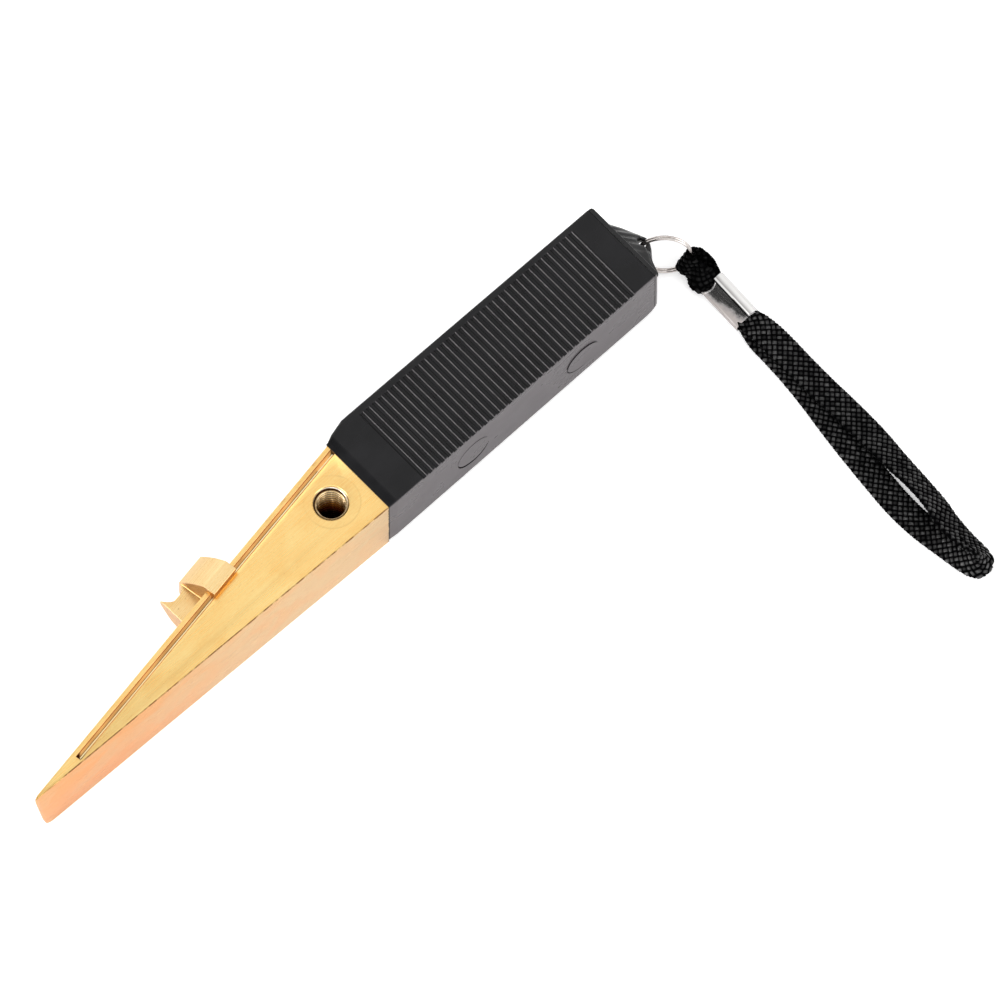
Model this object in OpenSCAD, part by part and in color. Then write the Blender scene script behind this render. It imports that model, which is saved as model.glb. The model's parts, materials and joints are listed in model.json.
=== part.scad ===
// Wedge-type earth (ground) clamp: a tapered brass bar with a slotted guide
// rail and a sliding hooked jaw, a moulded square grip, and a wrist strap.
// Origin: axis of the tapped cable hole, on the underside of the bar.
// +X runs along the grip to its rear end, +Y towards the slanted rail side,
// +Z out of the ribbed face. All sizes are in millimetres.

/* [Wedge bar] */
// Thickness of the brass bar
bar_thickness = 25.4; // [25:0.1:25.8]
// Distance from the cable hole to the wedge's tip
tip_x = 121; // [117:0.5:124]
// Width of the blunt tip
tip_width = 0.9; // [0.8:0.1:1.6]
// Width of the bar where it enters the grip
mouth_width = 25.45; // [25.2:0.05:25.6]
// Diameter of the cable hole at the root of its thread (M10)
hole_d = 10; // [8:0.5:10]
// Depth of the countersink round the cable hole
hole_csk = 0.35; // [0.2:0.05:0.6]

/* [Rail and jaw] */
// Thickness of the guide rail
rail_thickness = 1.4; // [1.2:0.05:1.5]
// Width of the slot behind the rail
slot_width = 1.7; // [1.7:0.05:1.8]
// Depth of the relief under the rail
relief_depth = 2.4; // [2:0.1:3]
// Position of the jaw's front foot along the rail
jaw_front = -53.1; // [-100:1:-25]
// Length of the jaw's clamping block
block_length = 9.9; // [8:0.1:12]
// Reach of the jaw's beak beyond the rail
beak_reach = 10.8; // [9:0.1:12]
// Thickness of the jaw's outer slab
slab_thickness = 8; // [6:0.5:10]

/* [Grip] */
// Length of the moulded grip, with its end cap
grip_length = 103.4; // [100:0.2:106]
// Thickness of the grip
grip_thickness = 26; // [26:0.1:26.6]
// Spacing of the ribs
rib_pitch = 2.35; // [2.2:0.05:2.5]
// Number of grooves between the ribs
groove_count = 35; // [20:1:35]
// Depth of the grooves
groove_depth = 0.7; // [0.4:0.1:1]
// Radius of the round covers over the grip screws
cover_r = 5.9; // [5:0.1:6.2]
// Width of the crescent recess at the foot of each cover
pry_width = 0.65; // [0.3:0.05:1]

/* [Ring and strap] */
// Mean radius of the split ring
ring_r = 7.6; // [7.4:0.1:7.8]
// Diameter of the ring's wire
wire_d = 0.8; // [0.7:0.05:0.9]
// Length of the crimp
crimp_length = 15; // [13:0.5:16]
// Thickness of the crimp
crimp_thickness = 3.2; // [3:0.1:3.6]
// Tilt of the crimp about its length
crimp_tilt = 20; // [0:1:24]

/* [Hidden] */
$fn = 48;

brass = [0.92, 0.72, 0.36];
steel = [0.78, 0.78, 0.80];
black = [0.10, 0.10, 0.11];

tiny = 0.01;                          // overlap or gap between touching faces
mid_z = 13;                           // height of the grip screws and the jaw's slab

// Bar: y0 is its plain side, y1 its slanted side.
mouth_x = 11;
mouth_y0 = -12.1;
mouth_y1 = mouth_y0 + mouth_width;
tip_y0 = -9.4;
tip_y1 = tip_y0 + tip_width;
slant_end_x = 1.5 - tip_x;            // where the slanted face meets the tip
rail_angle = atan2(mouth_y1 - tip_y1, mouth_x - slant_end_x);
rail_y = mouth_y1 - mouth_x * tan(rail_angle);    // slanted face at X = 0

// Tang: the part of the bar inside the grip.
tang_end = 104;
tang_y = [-8.8, 11.2];
tang_z = [3, 23];

// Slot, in the rail's frame. Depths are measured inwards from the slanted face.
slot_front = -105.5;                  // closed end of the slot
slot_rear = mouth_x / cos(rail_angle);            // open end, at the mouth
slot_depth = rail_thickness + slot_width;         // far wall of the slot
run = 0.05;                           // running clearance of the jaw
strip_room = 0.7;                     // part of the slot left to the strip
leg_thickness = slot_width - 2 * run - strip_room;     // jaw's inner leg
leg_depth = rail_thickness + run + leg_thickness;      // inner face of the leg
strip_depth = leg_depth + run;        // strip's face towards the leg
strip_thickness = 0.35;

grip_rear = mouth_x + grip_length;    // rear face of the end cap
flange_thickness = 1.4;               // flange of the end cap
grip_y0 = -12.4;
grip_y1 = 14.2;
grip_y1_rear = 13.6;

rail_screw_x = 7.4;                   // along the rail
rail_screw_z = [8.5, 18];
rail_bore_r = 1.55;
grip_screw_x = [43, 85];
cap_screws = [[-5, 7], [7.4, 7]];     // y, z
cap_bore_r = 2.05;

// ---- shared shapes and frames -------------------------------------------
function arc(center, radius, start, end, steps = 8) =
    [for (i = [0:steps]) let (a = start + (end - start) * i / steps)
        [center.x + radius * cos(a), center.y + radius * sin(a)]];

// A (y, z) profile drawn as (x, y) and extruded along X.
module along_x(x0, x1)
    translate([x0, 0, 0]) rotate([90, 0, 90]) linear_extrude(x1 - x0) children();

// An (x, z) profile drawn as (x, y) and extruded along Y.
module along_y(y0, y1)
    translate([0, y1, 0]) rotate([90, 0, 0]) linear_extrude(y1 - y0) children();

// Local frame of the rail: x along the rail to the rear, y outwards, z up.
module on_rail() translate([0, rail_y, 0]) rotate([0, 0, rail_angle]) children();

// Screw frames: local z points from the head into the clamp.
module at_rail_screws(y)              // y is in the rail's frame
    for (z = rail_screw_z) translate([rail_screw_x, y, z]) rotate([90, 0, 0]) children();
module at_grip_screws(y)              // local y points down
    for (x = grip_screw_x) translate([x, y, mid_z]) rotate([-90, 0, 0]) children();
module at_cap_screws(x)
    for (p = cap_screws) translate([x, p[0], p[1]]) rotate([0, -90, 0]) children();

// Bore with a countersunk seat that starts 1 mm down.
module csk_hole(bore_r, bore_length, seat_r, cone_length) {
    cylinder(r = bore_r, h = bore_length);
    cylinder(r = seat_r, h = 1);
    translate([0, 0, 1 - tiny]) cylinder(r1 = seat_r, r2 = bore_r, h = cone_length);
}

// Countersunk screw with a hexagon socket. The head and shank start at the
// given depths.
module csk_screw(head_r, head_z, head_length, shank_r, shank_z, shank_length,
                 socket_r, socket_depth)
    difference() {
        union() {
            translate([0, 0, head_z]) cylinder(r1 = head_r, r2 = shank_r, h = head_length);
            translate([0, 0, shank_z]) cylinder(r = shank_r, h = shank_length);
        }
        translate([0, 0, -0.5]) cylinder(r = socket_r, h = socket_depth + 0.5, $fn = 6);
    }

// Box with the tang's section, grown by gap on its four sides.
module tang_box(x0, x1, gap = 0)
    translate([x0, tang_y[0] - gap, tang_z[0] - gap])
        cube([x1 - x0, tang_y[1] - tang_y[0] + 2 * gap, tang_z[1] - tang_z[0] + 2 * gap]);

// ---- brass bar ----------------------------------------------------------
module bar_plan() polygon([
    [mouth_x, mouth_y0],
    [mouth_x, mouth_y1],
    [slant_end_x, tip_y1],
    [-tip_x + 0.3, tip_y0 + tip_width * 0.55],
    [-tip_x + 0.1, tip_y0 + 0.3],
    [-tip_x + 0.6, tip_y0]]);

// (x, z) outline: the tip leans back towards the underside and is rounded there.
module bar_side() polygon(concat(
    [[mouth_x + 1, 0], [mouth_x + 1, bar_thickness]],
    arc([-tip_x + 1.2, bar_thickness - 1.2], 1.2, 90, 180, 6),
    arc([-tip_x + 6.6, 3.2], 3.2, 190, 270)));

module wedge_body() color(brass) difference() {
    union() {
        intersection() {
            linear_extrude(bar_thickness) bar_plan();
            along_y(-40, 40) bar_side();
        }
        tang_box(mouth_x - 1, tang_end);
    }
    // cable hole, tapped through the bar
    translate([0, 0, -1]) cylinder(d = hole_d, h = bar_thickness + 2, $fn = 96);
    translate([0, 0, bar_thickness - hole_csk])
        cylinder(d1 = hole_d, d2 = hole_d + 2 * hole_csk + tiny, h = hole_csk + tiny, $fn = 96);
    // slot behind the rail, open at the mouth, and the relief under the rail
    on_rail() translate([slot_front, -slot_depth, -1]) {
        cube([slot_rear - slot_front + 1.5, slot_width, bar_thickness + 2]);
        cube([slot_rear - slot_front + 1.5, slot_depth + 1, relief_depth + 1]);
    }
    on_rail() at_rail_screws(1)
        csk_hole(bore_r = rail_bore_r, bore_length = 9.2, seat_r = 2.6, cone_length = 1.05);
    at_grip_screws(tang_y[0] - 1) cylinder(r = 2.55, h = 15);
    at_cap_screws(tang_end + 1) cylinder(r = cap_bore_r, h = 9);
}

// Thin leaf that stands in the slot and rubs on the jaw's inner leg.
module friction_strip() color(brass) on_rail() difference() {
    translate([slot_front + 0.4, -strip_depth - strip_thickness, relief_depth + 0.4])
        cube([slot_rear - slot_front - 1.4, strip_thickness, bar_thickness - relief_depth - 1.1]);
    at_rail_screws(1 - strip_depth) cylinder(r = rail_bore_r, h = 3);
}

// Packing pieces, one each side of the strip, that keep the slot's open end
// at its width.
spacer_sides = [[-strip_depth, -rail_thickness],       // y0, y1
                [-slot_depth, -strip_depth - strip_thickness]];
module rail_spacers() color(brass) on_rail() difference() {
    for (side = spacer_sides) translate([4.6, side[0] + tiny, 4])
        cube([5.6, side[1] - side[0] - 2 * tiny, 18]);
    at_rail_screws(1) cylinder(r = rail_bore_r, h = 6);
}

// Two countersunk screws that close the rail's open end against the bar.
module rail_screws() color(steel) on_rail() at_rail_screws(0)
    csk_screw(head_r = 2.45, head_z = 0.1, head_length = 0.95,
              shank_r = 1.5, shank_z = 0.6, shank_length = 7.2,
              socket_r = 0.9, socket_depth = 0.6);

// ---- sliding jaw, in the rail's frame -----------------------------------
slab_z0 = mid_z - slab_thickness / 2;
slab_z1 = mid_z + slab_thickness / 2;
jaw_top = bar_thickness + 1.9;
jaw_bottom = 0.4;
block_front = jaw_front + 9.0;
block_reach = beak_reach - 0.9;
shoulder_y = block_reach - 0.35;      // slab where it meets the block
dip_y = 7.45;                         // slab between the beak and the block

// Slightly convex line from one point to another, bulging up and outwards.
function bulge(from, to, height, steps = 6) =
    [for (i = [0:steps]) let (t = i / steps)
        from + (to - from) * t + height * sin(180 * t) * 0.7 * [1, 1]];

// (y, z) outline of the block; its upper shoulder is the convex slope.
module block_profile() polygon(concat(
    [[-leg_depth, jaw_bottom], [0.9, jaw_bottom], [block_reach, slab_z0]],
    bulge([block_reach, slab_z1], [1.0, jaw_top], 0.55),
    [[-strip_depth - 0.4, jaw_top], [-strip_depth - 0.4, bar_thickness + run],
     [-leg_depth, bar_thickness + run]]));

// Beak, dip behind it, and the rise to the block.
module slab_plan() polygon(concat(
    [[jaw_front, run], [jaw_front + 1.5, beak_reach]],
    [for (i = [1:8]) let (t = i / 8)
        [jaw_front + 1.5 + 2.6 * t, beak_reach - (beak_reach - 7.5) * sin(90 * t)]],
    [[jaw_front + 6.3, dip_y]],
    [for (i = [1:5]) let (t = i / 5)
        [jaw_front + 6.3 + 2.7 * t, dip_y + (shoulder_y - dip_y) * (1 - cos(90 * t))]],
    [[block_front + 1, shoulder_y], [block_front + 1, run]]));

// (y, z) outline: the beak thins from below towards its point.
module slab_profile() polygon(concat(
    [[run, slab_z0], [4, slab_z0]],
    [for (i = [1:8]) let (t = i / 8)
        [4 + (beak_reach + 0.1 - 4) * t, slab_z0 + (slab_thickness - 2.2) * (1 - cos(90 * t))]],
    [[beak_reach + 0.1, slab_z1 - 0.5], [beak_reach - 3, slab_z1], [run, slab_z1]]));

module sliding_jaw() color(brass) on_rail() union() {
    difference() {
        along_x(block_front, block_front + block_length) block_profile();
        // window that runs on the rail
        translate([block_front - 1, -rail_thickness - run, relief_depth - run])
            cube([block_length + 2, rail_thickness + 2 * run,
                  bar_thickness - relief_depth + 2 * run]);
    }
    intersection() {
        translate([0, 0, slab_z0]) linear_extrude(slab_thickness) slab_plan();
        along_x(jaw_front - 1, jaw_front + 10) slab_profile();
    }
}

// ---- grip ---------------------------------------------------------------
round_r = 2;                          // three long edges of the grip
sharp_r = 0.4;                        // top edge on the plain side

// (y, z) outline of the grip.
module grip_section() union() {
    width = grip_y1 - grip_y0;
    translate([grip_y0 + round_r, 0]) square([width - 2 * round_r, grip_thickness]);
    translate([grip_y0, round_r]) square([width, grip_thickness - 2 * round_r]);
    translate([grip_y0 + sharp_r, round_r]) square([4, grip_thickness - round_r]);
    translate([grip_y0, round_r]) square([4, grip_thickness - round_r - sharp_r]);
    for (corner = [[grip_y0 + round_r, round_r], [grip_y1 - round_r, round_r],
                   [grip_y1 - round_r, grip_thickness - round_r]])
        translate(corner) circle(r = round_r);
    translate([grip_y0 + sharp_r, grip_thickness - sharp_r]) circle(r = sharp_r);
}
module grip_plan() polygon(concat(
    [[mouth_x, mouth_y0 - 0.05], [mouth_x + 3, grip_y0]],
    arc([grip_rear - 1, grip_y0 + 1.5], 1, -90, 0, 4),
    arc([grip_rear - 2.5, grip_y1_rear - 2.5], 2.5, 0, 90),
    [[mouth_x + 3, grip_y1], [mouth_x, mouth_y1 + 0.15]]));
// (x, z) outline of the grip.
module grip_side() polygon(concat(
    [[mouth_x, 0]],
    arc([grip_rear - 4.6, 4.6], 4.6, -90, 0),
    [[grip_rear, grip_thickness], [mouth_x + 3, grip_thickness],
     [mouth_x, bar_thickness + 0.05]]));
module grip_envelope() intersection() {
    along_x(mouth_x, grip_rear) grip_section();
    linear_extrude(grip_thickness + 1) grip_plan();
    along_y(-40, 40) grip_side();
}

// Space at the rear of the envelope that belongs to the end cap's flange.
module flange_zone() translate([grip_rear - flange_thickness, -30, -1]) cube([10, 60, 40]);

module grip_sleeve() color(black) difference() {
    grip_envelope();
    flange_zone();
    // cavity for the tang and for the end cap's plug
    tang_box(mouth_x - 1, grip_rear + 1, gap = 0.05);
    // grooves between the ribs, open on the plain side
    for (i = [0:groove_count - 1])
        translate([mouth_x + 13 + i * rib_pitch, grip_y0 - 1, grip_thickness - groove_depth])
            cube([rib_pitch * 0.5, grip_y1 - grip_y0 - 1.6, groove_depth + 1]);
    // seats of the cover and the screw head, and the screw's bore
    at_grip_screws(grip_y0) {
        translate([0, 0, -1]) cylinder(r = cover_r + 0.1, h = 2.05);
        cylinder(r = 4.4, h = 2.2);
        cylinder(r = 2.6, h = 5);
    }
}

// Cross screws: wafer head, shank into the tang.
module grip_screws() color(steel) at_grip_screws(grip_y0) difference() {
    union() {
        translate([0, 0, 1.1]) cylinder(r = 4.2, h = 1.08);
        translate([0, 0, 2.0]) cylinder(r = 2.5, h = 14.5);
    }
    translate([0, 0, 1]) cylinder(r = 1.5, h = 0.9, $fn = 6);
}

// Round push-in covers over the cross screws, each with a crescent recess to
// lift it by at its lower edge.
module grip_screw_covers() color(black) at_grip_screws(grip_y0) intersection() {
    translate([0, 0, 0.06]) cylinder(r = cover_r, h = 0.96);
    union() {
        translate([0, -pry_width, -1]) cylinder(r = cover_r + 0.02, h = 3);
        translate([0, 0, 0.72]) cylinder(r = cover_r + 0.02, h = 3);
    }
}

// ---- end cap: flange, plug and the lug that carries the ring ------------
lug_center = [120.65, 1.65];
lug_z = [11, 13];

module lug_plan() {
    polygon([[grip_rear - 1, -6.4], [grip_rear + 0.2, -6.0],
             [lug_center.x + 2.2, lug_center.y - 1.75],
             [lug_center.x + 1.35, lug_center.y + 2.5],
             [grip_rear + 0.2, 10.6], [grip_rear - 1, 11.2]]);
    translate(lug_center) circle(r = 2.85, $fn = 64);
}

// (x, z) outline of the sloping web that runs the lug into the flange above it.
module web_side() polygon([
    [grip_rear - 0.5, lug_z[0] + tiny], [grip_rear + 3.9, lug_z[0] + tiny],
    [grip_rear + 3.9, lug_z[1] - tiny],
    [grip_rear + 0.1, lug_z[1] + 7.4], [grip_rear - 0.5, lug_z[1] + 7.4]]);

module end_cap() color(black) difference() {
    union() {
        intersection() {
            grip_envelope();
            flange_zone();
        }
        tang_box(tang_end + 0.6, grip_rear - flange_thickness + 0.1);
        translate([0, 0, lug_z[0]]) linear_extrude(lug_z[1] - lug_z[0]) lug_plan();
        along_y(-4.2, 7.6) web_side();
    }
    translate([lug_center.x, lug_center.y, 5]) cylinder(r = 1.75, h = 14);
    at_cap_screws(grip_rear + 1)
        csk_hole(bore_r = cap_bore_r, bore_length = 14, seat_r = 3.8, cone_length = 1.8);
}

module end_cap_screws() color(steel) at_cap_screws(grip_rear)
    csk_screw(head_r = 3.6, head_z = 0.15, head_length = 1.65,
              shank_r = 1.95, shank_z = 1, shank_length = 16.5,
              socket_r = 1.15, socket_depth = 1.1);

// ---- ring and strap -----------------------------------------------------
ring_center = [124.52, -3.40, 8.0];
ring_tilt = 75;
ring_turn = -43;
// Point of the ring, in plan, that the strap's short loop goes round.
hinge = [ring_center.x + ring_r * cos(ring_turn), ring_center.y + ring_r * sin(ring_turn)];

crimp_center = [129.5, -25.1];
crimp_turn = -2.2;                    // in plan
crimp_width = 8.4;
crimp_corner_r = 0.6;
crimp_z = 0.25 + crimp_width / 2 * sin(crimp_tilt) + crimp_thickness / 2 * cos(crimp_tilt);
crimp_opening = crimp_thickness - 1;  // height of the opening inside
webbing_width = 7;                    // inside the crimp

// Two coils of wire, side by side.
module split_ring() color(steel)
    translate(ring_center) rotate([0, 0, ring_turn]) rotate([ring_tilt, 0, 0])
        rotate_extrude($fn = 96) for (side = [-1, 1])
            translate([ring_r, side * (wire_d / 2 - 0.02)]) circle(d = wire_d, $fn = 24);

// Local frame of the crimp: x along the strap to the hand loop, y across,
// z out of its top.
module on_crimp()
    translate([crimp_center.x, crimp_center.y, crimp_z])
        rotate([0, 0, crimp_turn - 90]) rotate([crimp_tilt, 0, 0]) children();

// Flat length of webbing on the crimp's axis.
module webbing(x0, length)
    on_crimp() translate([x0, -webbing_width / 2, -crimp_opening / 2 + 0.05])
        cube([length, webbing_width, crimp_opening - 0.1]);

// Short loop of webbing round the ring, its ends caught in the crimp.
module strap_ring_loop() color(black) difference() {
    union() {
        translate([hinge.x, hinge.y, 5]) cylinder(r = 3.5, h = 6);
        hull() {
            translate([hinge.x + 0.4, hinge.y - 3.2, 5]) cylinder(r = 2.2, h = 5.6, $fn = 32);
            webbing(-crimp_length / 2 - 0.5, 0.3);
        }
        webbing(-crimp_length / 2 - 0.4, crimp_length / 2 + 0.2);
    }
    translate([hinge.x, hinge.y, 0]) cylinder(r = 2.3, h = 20);
}

// Flattened metal tube that grips the webbing.
module crimp_section() difference() {
    union() {
        square([crimp_width - 2 * crimp_corner_r, crimp_thickness], center = true);
        square([crimp_width, crimp_thickness - 2 * crimp_corner_r], center = true);
        for (x = [-1, 1], y = [-1, 1])
            translate([x * (crimp_width / 2 - crimp_corner_r),
                       y * (crimp_thickness / 2 - crimp_corner_r)])
                circle(r = crimp_corner_r);
    }
    square([crimp_width - 1.3, crimp_opening], center = true);
}
module strap_crimp() color(steel) on_crimp()
    along_x(-crimp_length / 2, crimp_length / 2) crimp_section();

// Hand loop: a flat band with a narrow lens-shaped slit, its end caught in the
// crimp. loop_x0 and loop_x1 are the band's edges in plan at a given y.
loop_y0 = -32.9;
loop_y1 = -133.6;
loop_steps = 32;
slit_x = 127.7;
slit_y = -93;
slit_length = 18;
function smooth(t) = let (u = min(1, max(0, t))) u * u * (3 - 2 * u);
function loop_x0(y) =
    124.7 - 6.2 * smooth((-y - 38) / 66) + 3.9 * smooth((-y - 116) / 22);
function loop_x1(y) =
    134.5 + 0.9 * smooth((-y - 34) / 8) - 0.5 * smooth((-y - 46) / 14)
    - 2.9 * smooth((-y - 84) / 34) - 5.8 * smooth((-y - 127.5) / 7);
function loop_y(i) = loop_y0 + (loop_y1 - loop_y0) * i / loop_steps;
function slit_point(i, side) =
    [slit_x + side * 0.7 * sin(18 * i), slit_y - slit_length * i / 10];

module strap_hand_loop() color(black) union() {
    webbing(0.2, crimp_length / 2 + 0.8);
    translate([0, 0, 0.3]) linear_extrude(3.2) difference() {
        polygon(concat(
            [for (i = [0:loop_steps]) [loop_x0(loop_y(i)), loop_y(i)]],
            [for (i = [loop_steps:-1:0]) [loop_x1(loop_y(i)), loop_y(i)]]));
        polygon(concat(
            [for (i = [0:10]) slit_point(i, -1)],
            [for (i = [9:-1:1]) slit_point(i, 1)]));
    }
}

wedge_body();
friction_strip();
rail_spacers();
rail_screws();
sliding_jaw();
grip_sleeve();
grip_screws();
grip_screw_covers();
end_cap();
end_cap_screws();
split_ring();
strap_ring_loop();
strap_crimp();
strap_hand_loop();
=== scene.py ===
"""A brass wedge bar with a sliding hook jaw, a black plastic grip and end cap, a split ring
and a braided hand strap.

It lies on the floor, z = 0. The bar runs along X with its tip towards -X and the grip
towards +X. The straight side faces -Y, the sloping rail +Y. The cable hole is at the origin.
Pieces are worked out in millimetres; Blender and the shaders work in metres.
"""
import json
import math
import bpy
import bmesh
import numpy as np
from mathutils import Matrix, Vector

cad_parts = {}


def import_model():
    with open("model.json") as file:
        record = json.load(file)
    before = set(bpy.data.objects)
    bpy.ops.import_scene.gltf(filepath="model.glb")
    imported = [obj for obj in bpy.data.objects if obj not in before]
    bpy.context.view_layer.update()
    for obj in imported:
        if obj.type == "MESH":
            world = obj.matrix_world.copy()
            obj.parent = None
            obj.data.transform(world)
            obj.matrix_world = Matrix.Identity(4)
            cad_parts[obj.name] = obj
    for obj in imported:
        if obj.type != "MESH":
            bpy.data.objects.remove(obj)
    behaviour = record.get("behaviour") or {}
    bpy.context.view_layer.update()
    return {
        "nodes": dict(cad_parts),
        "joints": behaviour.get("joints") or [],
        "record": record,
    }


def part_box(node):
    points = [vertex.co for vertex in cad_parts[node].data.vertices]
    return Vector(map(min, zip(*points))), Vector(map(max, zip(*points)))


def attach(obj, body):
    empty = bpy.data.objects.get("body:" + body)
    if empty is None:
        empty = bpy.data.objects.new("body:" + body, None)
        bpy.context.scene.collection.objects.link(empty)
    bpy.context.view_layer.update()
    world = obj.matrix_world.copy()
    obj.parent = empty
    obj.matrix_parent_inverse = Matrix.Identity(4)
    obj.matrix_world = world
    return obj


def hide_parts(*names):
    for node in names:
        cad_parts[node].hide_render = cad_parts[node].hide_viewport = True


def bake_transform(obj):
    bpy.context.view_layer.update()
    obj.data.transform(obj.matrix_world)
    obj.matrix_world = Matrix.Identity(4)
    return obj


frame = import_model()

NODES = frame["nodes"]
JOINTS = {joint["name"]: joint for joint in frame["joints"]}
SCENE = bpy.context.scene
MM = 0.001


def box_mm(node):
    low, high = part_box(node)
    return np.array(low) * 1000, np.array(high) * 1000


# ---- driving dimensions (mm) ------------------------------------------------
MOUTH_X = float(box_mm("grip_sleeve")[0][0])
COVERS_LOW, COVERS_HIGH = box_mm("grip_screw_covers")
CAP_SCREWS_LOW, CAP_SCREWS_HIGH = box_mm("end_cap_screws")
LOOP_END_Y = box_mm("strap_hand_loop")[0][1]
BAR_TOP = 25.4
SIDE_SLOPE = 2.7 / 132.0                    # taper of the bar's straight side
SLIDE_AXIS = JOINTS["jaw_slide"]["axis"]
RAIL_ANGLE = math.atan2(SLIDE_AXIS[1], SLIDE_AXIS[0])
RAIL_Y = 13.35 - MOUTH_X * math.tan(RAIL_ANGLE)             # the rail's line where x = 0
HOLE_RADIUS = [mount for mount in frame["record"]["mounts"]
               if mount["name"] == "cable_hole"][0]["dims"]["r_mm"]
LUG_HOLE = np.array(JOINTS["ring_swing"]["pos_m"][:2]) * 1000

GRIP_LENGTH = 103.4
GRIP_REAR_X = MOUTH_X + GRIP_LENGTH
GRIP_SIDE_Y, GRIP_RAIL_Y, GRIP_TOP = -12.4, 16.35, 26.0
CAP_X = GRIP_REAR_X - 1.4
COVER_RADIUS = 5.9
GROOVE_PITCH, GROOVE_COUNT, GROOVE_DEPTH = 2.35, 35, 0.7
GROOVE_WIDTH = GROOVE_PITCH / 2
GROOVE_X = MOUTH_X + 13
GROOVE_END_Y = 13.9                         # closed end of the grooves

# The ring's own axes: outwards, along the wire there, and through the ring
RING_RADIUS, RING_TURN, RING_TILT = 7.6, math.radians(-43), math.radians(75)
RING_OUT = np.array([math.cos(RING_TURN), math.sin(RING_TURN), 0])
RING_ALONG = np.array([-math.sin(RING_TURN) * math.cos(RING_TILT),
                       math.cos(RING_TURN) * math.cos(RING_TILT), math.sin(RING_TILT)])
RING_AXIS = np.cross(RING_OUT, RING_ALONG)
RING_AXIS = -RING_AXIS if RING_AXIS[2] < 0 else RING_AXIS
RING_CENTRE = np.array(JOINTS["strap_swing"]["pos_m"]) * 1000 - RING_RADIUS * RING_OUT

# The crimp's own axes: along the strap to the hand loop, across it, and out of its face
CRIMP_CENTRE = sum(box_mm("strap_crimp")) / 2
CRIMP_TURN, CRIMP_TILT = math.radians(-92.2), math.radians(20)
CRIMP_ALONG = np.array([math.cos(CRIMP_TURN), math.sin(CRIMP_TURN), 0.0])
CRIMP_ACROSS = (np.array([-math.sin(CRIMP_TURN), math.cos(CRIMP_TURN), 0.0]) * math.cos(CRIMP_TILT)
                + np.array([0, 0, 1.0]) * math.sin(CRIMP_TILT))
CRIMP_OUT = np.cross(CRIMP_ALONG, CRIMP_ACROSS)


# ---- mesh helpers -----------------------------------------------------------
def clamp01(t):
    return min(1.0, max(0.0, t))


def smooth01(t):
    t = clamp01(t)
    return t * t * (3 - 2 * t)


def quarter_round(t):
    """Height of a unit quarter circle: 0 at t = 0, 1 from t = 1 on."""
    return math.sqrt(max(0, 1 - (1 - min(1, t)) ** 2))


def new_object(name, verts, faces, sharp=None):
    """Smooth-shaded object from vertices in mm; edges over `sharp` degrees stay sharp."""
    mesh = bpy.data.meshes.new(name)
    mesh.from_pydata([tuple(v) for v in (np.asarray(verts, float) * MM)], [],
                     [tuple(int(i) for i in face) for face in faces])
    mesh.validate()
    mesh.update()
    ob = bpy.data.objects.new(name, mesh)
    SCENE.collection.objects.link(ob)
    mesh.polygons.foreach_set("use_smooth", [True] * len(mesh.polygons))
    if sharp is not None:
        mesh.set_sharp_from_angle(angle=math.radians(sharp))
    return ob


def outward(ob):
    """Turns the faces outwards."""
    bm = bmesh.new()
    bm.from_mesh(ob.data)
    bmesh.ops.recalc_face_normals(bm, faces=bm.faces)
    bm.to_mesh(ob.data)
    bm.free()
    return ob


def grid_faces(rows, columns, close_columns=True, close_rows=False, offset=0):
    faces = []
    for i in range(rows if close_rows else rows - 1):
        a, b = offset + i * columns, offset + ((i + 1) % rows) * columns
        for j in range(columns if close_columns else columns - 1):
            k = (j + 1) % columns
            faces.append((a + j, b + j, b + k, a + k))
    return faces


def fan(centre, rim, flip=False):
    faces = []
    for a, b in zip(rim, [*rim[1:], rim[0]]):
        faces.append((centre, b, a) if flip else (centre, a, b))
    return faces


def weighted_normals(ob, weight, keep_sharp):
    mod = ob.modifiers.new("normals", "WEIGHTED_NORMAL")
    mod.mode, mod.weight, mod.keep_sharp = "FACE_AREA", weight, keep_sharp


def refined_copy(node, name, width, flat=False):
    """A copy of a CAD node with its edges broken by `width` mm, standing for the node."""
    bm = bmesh.new()
    bm.from_mesh(NODES[node].data)
    bmesh.ops.remove_doubles(bm, verts=bm.verts, dist=1.2e-5)
    bmesh.ops.dissolve_degenerate(bm, edges=bm.edges, dist=1.2e-5)
    bmesh.ops.dissolve_limit(bm, angle_limit=math.radians(1.0), use_dissolve_boundaries=False,
                             verts=bm.verts, edges=bm.edges)
    mesh = bpy.data.meshes.new(name)
    bm.to_mesh(mesh)
    bm.free()
    ob = bpy.data.objects.new(name, mesh)
    SCENE.collection.objects.link(ob)
    mesh.polygons.foreach_set("use_smooth", [True] * len(mesh.polygons))
    bevel = ob.modifiers.new("edges", "BEVEL")
    bevel.width, bevel.segments = width * MM, 3
    bevel.limit_method, bevel.angle_limit = "ANGLE", math.radians(26)
    bevel.use_clamp_overlap = False
    bevel.profile = 0.5
    bevel.miter_outer = "MITER_ARC"
    if flat:
        bevel.harden_normals = True
    else:
        weighted_normals(ob, 60, False)
    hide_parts(node)
    return ob


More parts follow.
